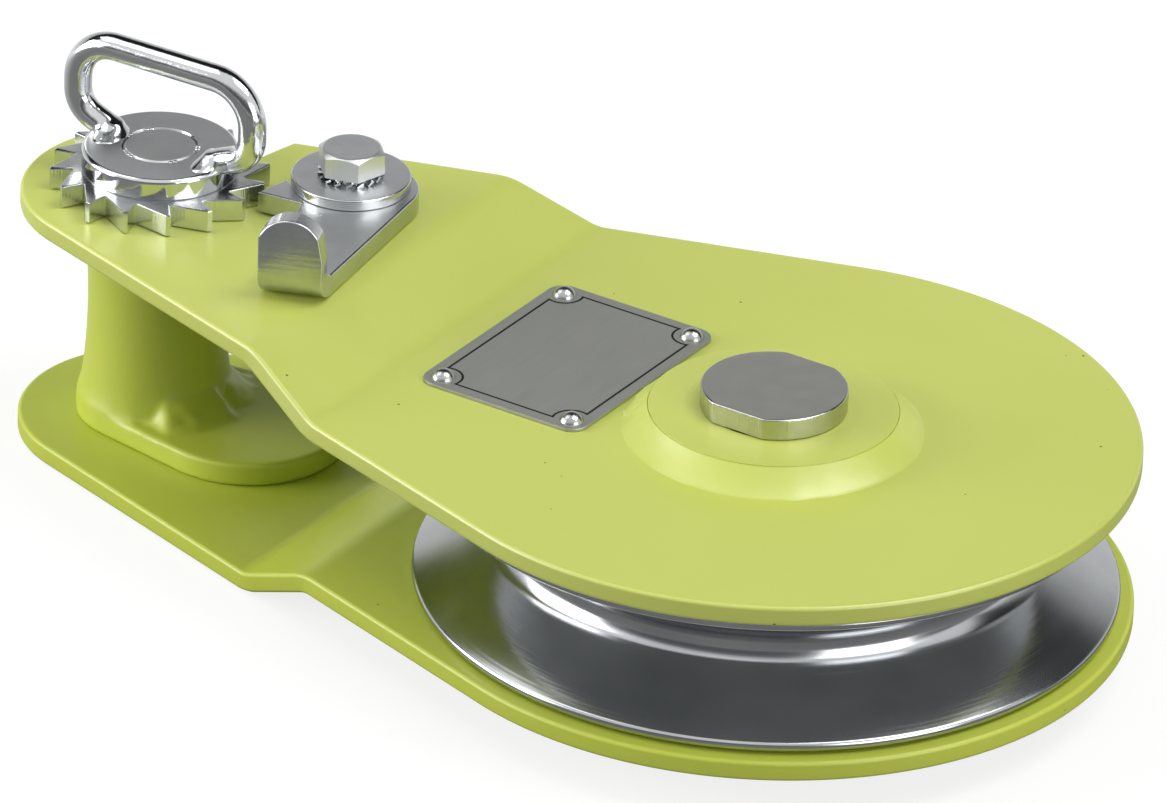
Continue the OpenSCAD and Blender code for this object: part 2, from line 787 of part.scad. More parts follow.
post_top_z = pawl_top_z + slide_gap;
cover_top_z = post_top_z + cover_t;
serrated_t = 1.2;
serrated_r = 7.3;
serration_count = 18;
bolt_head_af = 13;
bolt_head_h = 5.3;
bolt_top_inset = 0.4;
bolt_turn = 15;           // turn of the hexagon as tightened
bolt_len = 11;

module pawl_post() {
    color(zinc) at_pawl(drum_roof_z) difference() {
        cylinder(d = post_d, h = post_top_z - drum_roof_z);
        translate([0, 0, -cut]) cylinder(d = bolt_d, h = post_top_z - drum_roof_z + 2*cut);
    }
}

module cover_washer() {
    color(zinc) at_pawl(post_top_z) ring_solid(bolt_d/2, cover_d/2, cover_t);
}

serration = [1.9, 1.3, 0.5];
serration_twist = 28;
serration_lap = 0.3;

module serrated_washer() {
    color(zinc) at_pawl(cover_top_z) union() {
        ring_solid(bolt_d/2, serrated_r - serration.x + serration_lap, serrated_t);
        for (i = [0:serration_count - 1]) rotate([0, 0, 360*i/serration_count])
            translate([serrated_r - serration.x/2, 0, serrated_t/2]) rotate([serration_twist, 0, 0])
                cube(serration, center = true);
    }
}

module pawl_bolt() {
    head_z = cover_top_z + serrated_t;
    corner_d = bolt_head_af/cos(30);
    top_r = bolt_head_af/2 - bolt_top_inset;
    outer_r = corner_d/2 + cut;
    color(zinc) at_pawl() {
        // hexagon with its corners chamfered at 30 degrees
        translate([0, 0, head_z]) intersection() {
            rotate([0, 0, bolt_turn]) cylinder(d = corner_d, h = bolt_head_h, $fn = 6);
            rotate_extrude() polygon([[0, -cut], [outer_r, -cut],
                [outer_r, bolt_head_h - (outer_r - top_r)*tan(30)], [top_r, bolt_head_h],
                [0, bolt_head_h]]);
        }
        translate([0, 0, head_z - bolt_len]) cylinder(d = bolt_d, h = bolt_len);
    }
}

// Torsion spring in the pawl's pocket, round the post: two turns of wire and two short legs
spring_turns = 2.25;
coil_gap = 0.05*spring_wire;      // between turns, and under the first one
spring_fit = 0.35*spring_wire;    // between the wire and the post
spring_pitch = spring_wire + coil_gap;
spring_r = post_d/2 + spring_wire/2 + spring_fit;
spring_sides = 8;
spring_rings = 60;

function spring_point(t) = [spring_r*cos(360*t), spring_r*sin(360*t), spring_pitch*t];
function spring_ring(i) = let (
    t = spring_turns*i/spring_rings,
    out = [cos(360*t), sin(360*t), 0])
    [for (k = [0:spring_sides - 1]) let (a = 360*k/spring_sides)
        spring_point(t) + spring_wire/2*(cos(a)*out + [0, 0, sin(a)])];

module pawl_spring() {
    points = [for (i = [0:spring_rings]) each spring_ring(i)];
    sides = [for (i = [0:spring_rings - 1]) for (k = [0:spring_sides - 1])
        let (a = i*spring_sides + k, b = i*spring_sides + (k + 1)%spring_sides)
        each [[a, b, b + spring_sides], [a, b + spring_sides, a + spring_sides]]];
    last = spring_rings*spring_sides;
    ends = [for (k = [1:spring_sides - 2])
        each [[0, k + 1, k], [last, last + k, last + k + 1]]];
    color(dark_spring) at_pawl(pawl_top_z - pocket_depth + spring_wire/2 + coil_gap)
        polyhedron(points, concat(sides, ends));
}

// ---------- rating plate ----------

module rivet_places() {
    translate([-rating_from_axle, 0, 0])
        for (x = [-1, 1], y = [-1, 1])
            translate([x*(rating_x/2 - rivet_inset), y*(rating_y/2 - rivet_inset), 0]) children();
}

module rating_plate() {
    corner = 4;
    color(steel) difference() {
        translate([-rating_from_axle, 0, upper_face_z]) linear_extrude(rating_t) {
            square([rating_x - 2*corner, rating_y], center = true);
            square([rating_x, rating_y - 2*corner], center = true);
            for (x = [-1, 1], y = [-1, 1])
                translate([x*(rating_x/2 - corner), y*(rating_y/2 - corner)])
                    circle(r = corner, $fn = 32);
        }
        rivet_places() translate([0, 0, upper_face_z - cut])
            cylinder(d = rivet_hole_d, h = rating_t + 2*cut, $fn = 24);
    }
}

module plate_rivets() {
    dome_h = 1.8;
    dome_r = (pow(rivet_d/2, 2) + pow(dome_h, 2))/(2*dome_h);
    color(zinc) rivet_places() {
        translate([0, 0, upper_face_z + rating_t]) rotate_extrude($fn = 32) polygon(concat([[0, 0]],
            arc([0, dome_h - dome_r], dome_r, 90 - asin(rivet_d/2/dome_r), 90, 6)));
        translate([0, 0, upper_face_z - rivet_depth])
            cylinder(d = rivet_hole_d, h = rivet_depth + rating_t, $fn = 24);
    }
}

lower_side_plate();
lower_hub_ring();
lower_hub_weld();
sling_drum();
drum_flange();
drum_weld_bead();
axle();
axle_nut();
lower_thrust_washer();
upper_thrust_washer();
lower_inner_ring();
upper_inner_ring();
inner_spacer();
sheave();
lower_outer_ring();
upper_outer_ring();
lower_circlip();
upper_circlip();
lower_seal();
upper_seal();
bearing_balls();
bearing_cages();
upper_side_plate();
upper_hub_ring();
upper_hub_weld();
pivot_bush();
rating_plate();
plate_rivets();
pawl_post();
pawl_spring();
cover_washer();
serrated_washer();
pawl_bolt();
pawl();
stop_washer();
lock_screw();
screw_circlip();
ratchet_wheel();
lock_disc();
lock_handle();
handle_welds();
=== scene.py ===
import math

import bmesh
import bpy
from mathutils import Matrix, Vector, noise


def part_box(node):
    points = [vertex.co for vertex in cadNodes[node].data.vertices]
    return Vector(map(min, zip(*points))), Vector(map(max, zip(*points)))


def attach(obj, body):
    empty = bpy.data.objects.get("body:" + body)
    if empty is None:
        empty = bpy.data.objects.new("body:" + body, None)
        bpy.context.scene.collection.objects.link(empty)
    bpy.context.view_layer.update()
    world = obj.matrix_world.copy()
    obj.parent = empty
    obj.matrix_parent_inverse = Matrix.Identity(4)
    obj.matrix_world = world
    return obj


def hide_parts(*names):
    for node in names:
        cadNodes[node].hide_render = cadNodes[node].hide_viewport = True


# Side-opening snatch block in yellow-green powder coat, with a bright zinc ratchet lock. Shapes are
# built in millimetres in the frame's axes and scaled to metres when they become meshes.

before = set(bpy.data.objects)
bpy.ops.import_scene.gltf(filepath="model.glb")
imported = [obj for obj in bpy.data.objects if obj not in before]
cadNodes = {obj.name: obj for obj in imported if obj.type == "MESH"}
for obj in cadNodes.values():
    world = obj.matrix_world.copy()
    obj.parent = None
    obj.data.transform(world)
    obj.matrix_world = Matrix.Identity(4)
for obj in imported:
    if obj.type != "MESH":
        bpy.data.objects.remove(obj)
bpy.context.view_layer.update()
print("frame loaded")

mm = 0.001
tiny = 1e-6  # lengths under this count as nothing
levelFace = 0.985  # a face whose normal rises this much looks straight up


def span(node):  # lowest and highest corner of a CAD node, in millimetres
    low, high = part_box(node)
    return low / mm, high / mm


plateLow, plateHigh = span("upper_side_plate")
lowerPlateLow = span("lower_side_plate")[0]
hubLow, hubHigh = span("upper_hub_ring")
lowerHubLow, lowerHubHigh = span("lower_hub_ring")
axleHigh = span("axle")[1]
nutLow, nutHigh = span("axle_nut")
sheaveLow, sheaveHigh = span("sheave")
flangeLow, flangeHigh = span("drum_flange")
drumLow, drumHigh = span("sling_drum")
wheelLow, wheelHigh = span("ratchet_wheel")
discLow, discHigh = span("lock_disc")
screwLow, screwHigh = span("lock_screw")
pawlLow = span("pawl")[0]
postLow, postHigh = span("pawl_post")
coverLow, coverHigh = span("cover_washer")
starLow, starHigh = span("serrated_washer")
boltLow, boltHigh = span("pawl_bolt")
ratingLow, ratingHigh = span("rating_plate")

lockX = (discLow.x + discHigh.x) / 2  # the lock screw's axis; the sheave's is at 0
pawlPivot = Vector(((postLow.x + postHigh.x) / 2, (postLow.y + postHigh.y) / 2))


# nodes and colours
def linearColour(code):  # sRGB hex to linear RGBA
    channels = [int(code[i:i + 2], 16) / 255 for i in (1, 3, 5)]
    return tuple(c / 12.92 if c <= 0.04045 else ((c + 0.055) / 1.055) ** 2.4 for c in channels) + (1.0,)


def feed(tree, node, links):
    # links are sockets by name or number: each is fed by an output or a node's first output, or set to a value
    for socket, value in links.items():
        if isinstance(value, bpy.types.Node):
            value = value.outputs[0]
        if isinstance(value, bpy.types.NodeSocket):
            tree.links.new(value, node.inputs[socket])
        else:
            node.inputs[socket].default_value = value


def addNode(tree, kind, links=None, **settings):
    made = tree.nodes.new(kind)
    for key, value in settings.items():
        setattr(made, key, value)
    feed(tree, made, links or {})
    return made


def startMaterial(name):
    material = bpy.data.materials.new(name)
    material.use_nodes = True
    tree = material.node_tree
    shader = tree.nodes["Principled BSDF"]
    place = addNode(tree, "ShaderNodeTexCoord").outputs["Object"]
    return material, tree, shader, place


def perMetre(size):  # texture scale for a feature of this many millimetres
    return 1 / (size * mm)


# materials; sizes are in millimetres, and a pair is the least and the most
def dress(tree, shader, tones, gloss, lifts, sockets):
    # two tones, broken gloss and a raised surface, each from a pattern: tones are a pattern and two
    # colours, gloss a pattern and two roughnesses, and a lift a pattern, its strength and its height
    pattern, first, second = tones
    shade = addNode(tree, "ShaderNodeMix", {"Factor": pattern, 6: linearColour(first),
                                            7: linearColour(second)}, data_type="RGBA")
    pattern, least, most = gloss
    rough = addNode(tree, "ShaderNodeMapRange", {"Value": pattern, "To Min": least, "To Max": most})
    normal = {}
    for pattern, strength, height in lifts:
        bump = addNode(tree, "ShaderNodeBump", {"Height": pattern, "Strength": strength,
                                                "Distance": height * mm, **normal})
        normal = {"Normal": bump}
    feed(tree, shader, {"Base Color": shade.outputs[2], "Roughness": rough, **normal, **sockets})
    return shade


def makePowderCoat(name, colour, warm, sheen):
    # polyester powder coat, sprayed and baked: an even satin skin with faint orange peel, and here and
    # there a pinhole or a grain of dust under half a millimetre; a dot's radius is a share of its cell
    coat = dict(speck="#5C6420", cell=3.0, rare=0.978, dot=0.1, cloud=60.0, peel=1.1, wave=9.0, rough=(0.36, 0.45),
                index=1.55)
    material, tree, shader, place = startMaterial(name)
    cloud = addNode(tree, "ShaderNodeTexNoise", {"Vector": place, "Scale": perMetre(coat["cloud"]), "Detail": 3.0})
    peel = addNode(tree, "ShaderNodeTexNoise", {"Vector": place, "Scale": perMetre(coat["peel"]), "Detail": 1.0})
    wave = addNode(tree, "ShaderNodeTexNoise", {"Vector": place, "Scale": perMetre(coat["wave"]), "Detail": 1.0})
    body = dress(tree, shader, (cloud, colour, warm), (wave, *coat["rough"]), ((wave, 0.12, 0.6), (peel, 0.1, 0.2)),
                 {"IOR": coat["index"], "Specular IOR Level": sheen})
    cells = addNode(tree, "ShaderNodeTexVoronoi", {"Vector": place, "Scale": perMetre(coat["cell"]),
                                                   "Randomness": 1.0})
    drawn = addNode(tree, "ShaderNodeSeparateColor", {"Color": cells.outputs["Color"]})
    chosen = addNode(tree, "ShaderNodeMath", {0: drawn.outputs["Red"], 1: coat["rare"]}, operation="GREATER_THAN")
    dot = addNode(tree, "ShaderNodeMath", {0: cells.outputs["Distance"], 1: coat["dot"]}, operation="LESS_THAN")
    speck = addNode(tree, "ShaderNodeMath", {0: chosen, 1: dot}, operation="MULTIPLY")
    film = addNode(tree, "ShaderNodeMix", {"Factor": speck, 6: body.outputs[2],
                                           7: linearColour(coat["speck"])}, data_type="RGBA")
    feed(tree, shader, {"Base Color": film.outputs[2]})
    return material


def makeZinc(name, colour, dull, rough, spread, grain, lay=(0.5, 0.5, 9.0)):
    # electroplated zinc, clear passivated: bright and slightly clouded, with tool marks on upright faces.
    # lay is the marks' size along each axis; they fade between two values of how level a face is
    zinc = dict(cloud=7.0, fine=0.9, level=(0.25, 0.6))
    material, tree, shader, place = startMaterial(name)
    cloud = addNode(tree, "ShaderNodeTexNoise", {"Vector": place, "Scale": perMetre(zinc["cloud"]), "Detail": 4.0,
                                                 "Roughness": 0.6})
    fine = addNode(tree, "ShaderNodeTexNoise", {"Vector": place, "Scale": perMetre(zinc["fine"]), "Detail": 3.0})
    stretched = addNode(tree, "ShaderNodeMapping", {"Vector": place, "Scale": tuple(perMetre(size) for size in lay)})
    lines = addNode(tree, "ShaderNodeTexNoise", {"Vector": stretched, "Scale": 1.0, "Detail": 2.0})
    facing = addNode(tree, "ShaderNodeNewGeometry")
    upright = addNode(tree, "ShaderNodeSeparateXYZ", {0: facing.outputs["Normal"]})
    level = addNode(tree, "ShaderNodeMath", {0: upright.outputs["Z"]}, operation="ABSOLUTE")
    side = addNode(tree, "ShaderNodeMapRange", {"Value": level, "From Min": zinc["level"][0],
                                                "From Max": zinc["level"][1], "To Min": grain, "To Max": 0.0})
    marks = addNode(tree, "ShaderNodeMath", {0: lines, 1: side}, operation="MULTIPLY")
    dress(tree, shader, (cloud, colour, dull), (fine, rough - spread, rough + spread),
          ((marks, 0.5, 0.4), (cloud, 0.12, 0.8)), {"Metallic": 1.0})
    return material


def makeTurnedSteel():
    # steel turned on a lathe: rings round the sheave axis, which stretch the highlights across them
    turned = dict(colour="#CDCFD1", dull="#9DA0A3", smudge=22.0, rough=(0.136, 0.2125), pitch=0.5, band=4.5,
                  depth=0.16, stretch=0.55)
    material, tree, shader, place = startMaterial("turnedSheaveSteel")
    axes = addNode(tree, "ShaderNodeSeparateXYZ", {0: place})
    flat = addNode(tree, "ShaderNodeCombineXYZ", {0: axes.outputs["X"], 1: axes.outputs["Y"]})
    radius = addNode(tree, "ShaderNodeVectorMath", {0: flat}, operation="LENGTH")
    along = addNode(tree, "ShaderNodeMath", {0: radius.outputs["Value"], 1: axes.outputs["Z"]}, operation="ADD")
    rings = addNode(tree, "ShaderNodeTexNoise", {"W": along, "Scale": perMetre(turned["pitch"]),
                                                 "Detail": 3.0}, noise_dimensions="1D")
    bands = addNode(tree, "ShaderNodeTexNoise", {"W": along, "Scale": perMetre(turned["band"]),
                                                 "Detail": 2.0}, noise_dimensions="1D")
    smudge = addNode(tree, "ShaderNodeTexNoise", {"Vector": place, "Scale": perMetre(turned["smudge"]),
                                                  "Detail": 4.0})
    around = addNode(tree, "ShaderNodeTangent", direction_type="RADIAL", axis="Z")
    dress(tree, shader, (smudge, turned["colour"], turned["dull"]), (bands, *turned["rough"]),
          ((rings, turned["depth"], 0.1),),
          {"Metallic": 1.0, "Anisotropic": turned["stretch"], "Tangent": around})
    return material


def makeBrushedSheet():
    # rolled aluminium sheet, anodised: matt grey with a faint straight grain
    rolled = dict(colour="#A3A49F", pale="#B3B4AF", grain=(0.35, 14.0, 5.0), metallic=0.85, rough=(0.42, 0.55))
    material, tree, shader, place = startMaterial("anodisedAluminium")
    stretched = addNode(tree, "ShaderNodeMapping", {"Vector": place,
                                                    "Scale": tuple(perMetre(size) for size in rolled["grain"])})
    grain = addNode(tree, "ShaderNodeTexNoise", {"Vector": stretched, "Scale": 1.0, "Detail": 3.0})
    dress(tree, shader, (grain, rolled["colour"], rolled["pale"]), (grain, *rolled["rough"]), ((grain, 0.08, 0.1),),
          {"Metallic": rolled["metallic"]})
    return material


def makePlain(name, colour, second, metallic, rough, size, bump, spread=0.06):
    # small or sheltered pieces: two close tones, broken gloss and a fine surface
    material, tree, shader, place = startMaterial(name)
    cloud = addNode(tree, "ShaderNodeTexNoise", {"Vector": place, "Scale": perMetre(size), "Detail": 4.0})
    dress(tree, shader, (cloud, colour, second), (cloud, rough - spread, rough + spread), ((cloud, bump, 0.3),),
          {"Metallic": metallic})
    return material


powderCoat = makePowderCoat("powderCoatYellowGreen", "#C0CA57", "#C7D063", 1.0)
shadedCoatCopy = makePowderCoat("powderCoatShadedCopy", "#C0CC46", "#C6D150", 0.55)  # a shaded copy of the same coat, more saturated and with less sheen: painted shade for the lower plate and the drum under the upper plate
# plated steel: two tones, roughness and its spread, strength and lay of the marks
zincCut = makeZinc("zincPlatedCutSteel", "#E2E4E5", "#C6C9CB", 0.17, 0.05, 0.45)
zincRod = makeZinc("zincPlatedRod", "#DBDDDE", "#BEC1C3", 0.11, 0.05, 0.0)
zincBright = makeZinc("zincPlatedPunchedFace", "#DCDEDF", "#A6A9AB", 0.17, 0.06, 0.0)
zincMatt = makeZinc("zincPlatedMattFace", "#CCCECF", "#BABCBD", 0.42, 0.06, 0.3)
zincBent = makeZinc("zincPlatedBentSheet", "#D0D2D3", "#B0B3B5", 0.22, 0.06, 0.2, (14.0, 14.0, 0.9))
zincSatin = makeZinc("zincPlatedSatinFace", "#E4E6E7", "#D2D4D6", 0.37, 0.05, 0.2)
headSide = makeZinc("turnedAxleSide", "#D2D2CC", "#A9A9A2", 0.2, 0.07, 0.5, (0.4, 0.4, 6.0))
rivetMetal = makeZinc("domedRivetSteel", "#B9BAB8", "#A2A3A1", 0.24, 0.05, 0.0)
sheaveSteel = makeTurnedSteel()
plateSheet = makeBrushedSheet()
# the rest: two tones, metallic, roughness, size and height of the surface's grain
headSteel = makePlain("machinedAxleSteel", "#BDBDB7", "#C9C8C1", 1.0, 0.4, 5.0, 0.12)
bushSteel = makePlain("oiledBushSteel", "#6E7068", "#585A54", 1.0, 0.45, 2.0, 0.1)
bearingSteel = makePlain("groundBearingSteel", "#D0D2D4", "#C2C4C6", 1.0, 0.12, 6.0, 0.03)
bushBronze = makePlain("sinteredBronze", "#A97F42", "#8E6A36", 1.0, 0.38, 1.2, 0.15)
sealRubber = makePlain("nitrileRubber", "#17181A", "#222325", 0.0, 0.6, 1.0, 0.1)
springSteel = makePlain("oiledSpringSteel", "#5A5D60", "#44474A", 1.0, 0.3, 1.5, 0.08)
printBlack = makePlain("screenPrintInk", "#0B0C0B", "#141513", 0.0, 0.5, 1.5, 0.05)
feed(printBlack.node_tree, printBlack.node_tree.nodes["Principled BSDF"], {"Specular IOR Level": 0.15})
print("materials made")


# mesh helpers, in millimetres
def toObject(name, mesh, material, body, replaced=(), sharp=32, topMaterial=None):
    # topMaterial goes on the faces that look straight up
    bmesh.ops.scale(mesh, vec=(mm, mm, mm), verts=mesh.verts)
    bmesh.ops.recalc_face_normals(mesh, faces=mesh.faces)
    data = bpy.data.meshes.new(name)
    mesh.to_mesh(data)
    mesh.free()
    data.shade_smooth()
    data.set_sharp_from_angle(angle=math.radians(sharp))
    data.materials.append(material)
    if topMaterial:
        data.materials.append(topMaterial)
        for face in data.polygons:
            face.material_index = 1 if face.normal.z > levelFace else 0
    made = bpy.data.objects.new(name, data)
    bpy.context.scene.collection.objects.link(made)
    weighted = made.modifiers.new("evenNormals", "WEIGHTED_NORMAL")
    weighted.keep_sharp = True
    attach(made, body)
    if replaced:
        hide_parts(*replaced)
    return made


def polar(radius, degrees, centre=(0, 0)):
    angle = math.radians(degrees)
    return Vector((centre[0] + radius * math.cos(angle), centre[1] + radius * math.sin(angle)))


def arcPoints(centre, radius, start, end, steps):
    return [polar(radius, start + (end - start) * i / steps, centre) for i in range(steps + 1)]


def circlePoints(centre, radius, steps, clockwise=False):
    ring = arcPoints(centre, radius, 0, 360, steps)[:-1]
    return ring[::-1] if clockwise else ring


def bridge(mesh, rings, capped=False):
    # faces from each ring to the next; a ring on the axis is one point repeated
    for one, two in zip(rings, rings[1:]):
        for i in range(len(one)):
            j = (i + 1) % len(one)
            corners = list(dict.fromkeys((one[i], one[j], two[j], two[i])))
            if len(corners) > 2:
                mesh.faces.new(corners)
    if capped:
        mesh.faces.new(rings[0][::-1])
        mesh.faces.new(rings[-1])


def insetRing(points, distance):
    # outlines run anticlockwise and holes clockwise, so the metal is always on the left
    moved = []
    for i, here in enumerate(points):
        before, after = points[i - 1], points[(i + 1) % len(points)]
        first = (here - before).normalized()
        second = (after - here).normalized()
        normal = Vector((-first.y, first.x))
        bisector = normal + Vector((-second.y, second.x))
        bisector = bisector.normalized() if bisector.length > tiny else normal
        moved.append(here + bisector * distance / max(0.4, bisector.dot(normal)))  # sharp corners move less
    return moved


def slab(loops, low, high, edge, steps=3, mesh=None):
    # a flat piece with rounded edges: loops[0] is the outline, the others are holes
    mesh = mesh or bmesh.new()
    caps = {low: [], high: []}
    turns = [math.pi / 2 * i / steps for i in range(steps + 1)]
    levels = [(low + edge * (1 - math.sin(turn)), edge * (1 - math.cos(turn))) for turn in reversed(turns)]
    levels += [(high - edge * (1 - math.sin(turn)), edge * (1 - math.cos(turn))) for turn in turns]
    for loop in loops:
        rings = [[mesh.verts.new((p.x, p.y, z)) for p in insetRing(loop, inset)] for z, inset in levels]
        bridge(mesh, rings)
        for z, ring in ((low, rings[0]), (high, rings[-1])):
            caps[z] += [mesh.edges.get((ring[i - 1], ring[i])) for i in range(len(ring))]
    for z in (low, high):
        bmesh.ops.triangle_fill(mesh, use_beauty=True, edges=caps[z])
    return mesh


def revolve(profile, steps, centre=(0, 0), mesh=None):
    # turns a closed loop of (radius, height) points about an upright axis
    mesh = mesh or bmesh.new()
    rings = []
    for radius, height in profile:
        if radius < tiny:
            rings.append([mesh.verts.new((*centre, height))] * steps)
        else:
            rings.append([mesh.verts.new((*p, height)) for p in circlePoints(centre, radius, steps)])
    bridge(mesh, rings + rings[:1])
    return mesh


def roundedProfile(points, radius, steps=4):
    # rounds the corners of a closed (radius, height) profile, except those on the axis and those that
    # are folded back or all but straight; a third number is that corner's own radius
    foldedBack, allButStraight, mostOfSide = 0.05, 1.5, 0.45  # half angles in radians, share of a side
    result = []
    for i, here in enumerate(points):
        size = here[2] if len(here) > 2 else radius
        here, before, after = (Vector(point[:2]) for point in (here, points[i - 1], points[(i + 1) % len(points)]))
        toBefore, toAfter = before - here, after - here
        half = toBefore.angle(toAfter) / 2 if min(toBefore.length, toAfter.length) > tiny else 0
        if here.x < tiny or size <= 0 or half < foldedBack or half > allButStraight:
            result.append(here)
            continue
        reach = min(size / math.tan(half), toBefore.length * mostOfSide, toAfter.length * mostOfSide)
        one, two = here + toBefore.normalized() * reach, here + toAfter.normalized() * reach
        for share in (step / steps for step in range(steps + 1)):
            result.append(one * (1 - share) ** 2 + here * 2 * share * (1 - share) + two * share * share)
    return [(p.x, p.y) for p in result]


def tube(path, radius, sides):
    # a round rod along a path of 3D points, with flat ends
    mesh = bmesh.new()
    rings = []
    side = (path[1] - path[0]).normalized().orthogonal()
    for i, here in enumerate(path):
        ahead = (path[min(i + 1, len(path) - 1)] - path[max(i - 1, 0)]).normalized()
        side = (side - ahead * side.dot(ahead)).normalized()
        other = ahead.cross(side)
        rings.append([mesh.verts.new(here + side * around.x + other * around.y)
                      for around in circlePoints((0, 0), radius, sides)])
    bridge(mesh, rings, capped=True)
    return mesh


def soften(mesh, verts, passes):
    for _ in range(passes):
        bmesh.ops.smooth_vert(mesh, verts=verts, factor=0.5, use_axis_x=True, use_axis_y=True, use_axis_z=True)


def fuse(mesh, voxel, passes):
    # melts overlapping closed pieces into one skin, as a weld does, and softens its steps
    data = bpy.data.meshes.new("fusing")
    mesh.to_mesh(data)
    mesh.free()
    whole = bpy.data.objects.new("fusing", data)
    bpy.context.scene.collection.objects.link(whole)
    skin = whole.modifiers.new("skin", "REMESH")
    skin.mode = "VOXEL"
    skin.voxel_size = voxel
    shaped = whole.evaluated_get(bpy.context.evaluated_depsgraph_get())
    fused = bmesh.new()
    fused.from_mesh(shaped.to_mesh())
    shaped.to_mesh_clear()
    bpy.data.objects.remove(whole)
    bpy.data.meshes.remove(data)
    soften(fused, fused.verts[:], passes)
    return fused


def foldLine(mesh, place, direction):  # an edge loop where the sheet is going to bend
    parts = mesh.verts[:] + mesh.edges[:] + mesh.faces[:]
    bmesh.ops.bisect_plane(mesh, geom=parts, plane_co=place, plane_no=direction)


# side plates: the bend is given at the sheet's middle, from the lock's axis
plateShape = dict(lockRadius=30.0, sheaveRadius=77.96, edge=0.9, bendStart=58.0, bendRun=19.0, bendRadius=11.0,
                  slotHalf=7.05, upperBore=15.0, lowerBore=12.5)
joggle = plateHigh.z - hubLow.z
plateThick = (plateHigh.z - plateLow.z) - joggle
midHeight = (plateHigh.z + lowerPlateLow.z) / 2
bendSlope = math.atan2(joggle, plateShape["bendRun"])
bendReach = plateShape["bendRadius"] * math.tan(bendSlope / 2)
bendWide = plateShape["bendRadius"] * math.sin(bendSlope)
bendLine = lockX + plateShape["bendStart"]
firstBend = bendLine - bendReach
lastBend = bendLine + plateShape["bendRun"] + bendReach


def plateOutline(slotted):
    shape = plateShape
    lean = math.degrees(math.asin((shape["sheaveRadius"] - shape["lockRadius"]) / -lockX))
    tip = arcPoints((0, 0), shape["sheaveRadius"], -90 - lean, 90 + lean, 170)
    back = arcPoints((lockX, 0), shape["lockRadius"], 90 + lean, 270 - lean, 90)
    if not slotted:
        return tip + back
    # the slot runs on an arc round the sheave axis and opens through the straight far edge
    start, along = tip[-1], back[0] - tip[-1]
    slot = []
    for side in (-1, 1):
        radius = -lockX + side * shape["slotHalf"]
        half = start.dot(along) / along.length_squared
        rest = (start.length_squared - radius ** 2) / along.length_squared
        mouth = start + along * (math.sqrt(half ** 2 - rest) - half)
        arc = arcPoints((0, 0), radius, math.degrees(math.atan2(mouth.y, mouth.x)), 180, 14)
        slot += arc if side < 0 else arc[::-1]
        if side < 0:
            slot += arcPoints((lockX, 0), shape["slotHalf"], 0, -180, 24)[1:-1]
    return tip + slot + back


def joggleAt(x):
    # height and slope of the sheet's middle: 0 at the lock end, then a step of one joggle
    radius = plateShape["bendRadius"]
    if x <= firstBend:
        return 0.0, 0.0
    if x >= lastBend:
        return -joggle, 0.0
    if x < firstBend + bendWide:
        turn = math.asin((x - firstBend) / radius)
        return -radius * (1 - math.cos(turn)), turn
    if x > lastBend - bendWide:
        turn = math.asin((lastBend - x) / radius)
        return -joggle + radius * (1 - math.cos(turn)), turn
    return -(x - bendLine) * math.tan(bendSlope), bendSlope


def makePlate(name, node, body, upper):
    bore = circlePoints((0, 0), plateShape["upperBore" if upper else "lowerBore"], 64, clockwise=True)
    half = plateThick / 2
    mesh = slab([plateOutline(upper), bore], -half, half, plateShape["edge"], 4)
    for start in (firstBend, lastBend - bendWide):
        for i in range(9):
            foldLine(mesh, (start + bendWide * i / 8, 0, 0), (1, 0, 0))
    for vert in mesh.verts:
        height, turn = joggleAt(vert.co.x)
        out = vert.co.z
        vert.co.z = plateHigh.z - half + height + out * math.cos(turn)
        vert.co.x += out * math.sin(turn)
        if not upper:
            vert.co.z = 2 * midHeight - vert.co.z
    # the lower plate takes the shaded copy of the coat, which paints shade on it
    return toObject(name, mesh, powderCoat if upper else shadedCoatCopy, body, [node], sharp=50)


upperPlate = makePlate("upperPlate", "upper_side_plate", "upper_frame", True)
lowerPlate = makePlate("lowerPlate", "lower_side_plate", "lower_frame", False)
print("side plates made")


# hub rings with their welds. lip, line and weld are points out from the bore or the flat and up from the
# ring's top; a wave is its count round the ring and how far it moves the weld out and up
hubShape = dict(upperBore=15.0, lowerBore=12.0, flat=26.4, foot=32.0, steps=220, rows=18, fade=1.32,
                lip=((0.0, 0.005), (-0.55, 0.005), (-0.55, 0.03), (1.0, 0.02)),
                line=((-0.2, 0.0), (0.0, -0.06), (0.08, -0.5)), weld=(0.2, -0.25), loose=0.3, footShare=0.5,
                wobble=(5, 0.35, 0.15), ripple=(26, 0.9, 0.7), lumpAngle=205.0, lumpWidth=16.0)


def weldPoint(radius, height, angle):
    # one point of the ring's profile, moved where it is in the weld; the ripple shows at one lump
    shape = hubShape
    if radius <= shape["flat"] + shape["loose"]:
        return radius, height
    share = (radius - shape["flat"]) / (shape["foot"] - shape["flat"])
    away = (math.degrees(angle) - shape["lumpAngle"] + 180) % 360 - 180
    lump = math.exp(-(away / shape["lumpWidth"]) ** 2)
    waves, wobbleOut, wobbleUp = shape["wobble"]
    wobble = noise.noise(Vector((math.cos(angle) * waves, math.sin(angle) * waves, 3.1)))
    waves, rippleOut, rippleUp = shape["ripple"]
    ripple = noise.noise(Vector((math.cos(angle) * waves, math.sin(angle) * waves, share * 2))) * lump
    out = (wobble * wobbleOut + ripple * rippleOut) * share * (1 if height > 0.01 else shape["footShare"])
    up = (wobble * wobbleUp + ripple * rippleUp) * (1 - share) * 2 * share
    return min(radius + out, shape["foot"]), height + up


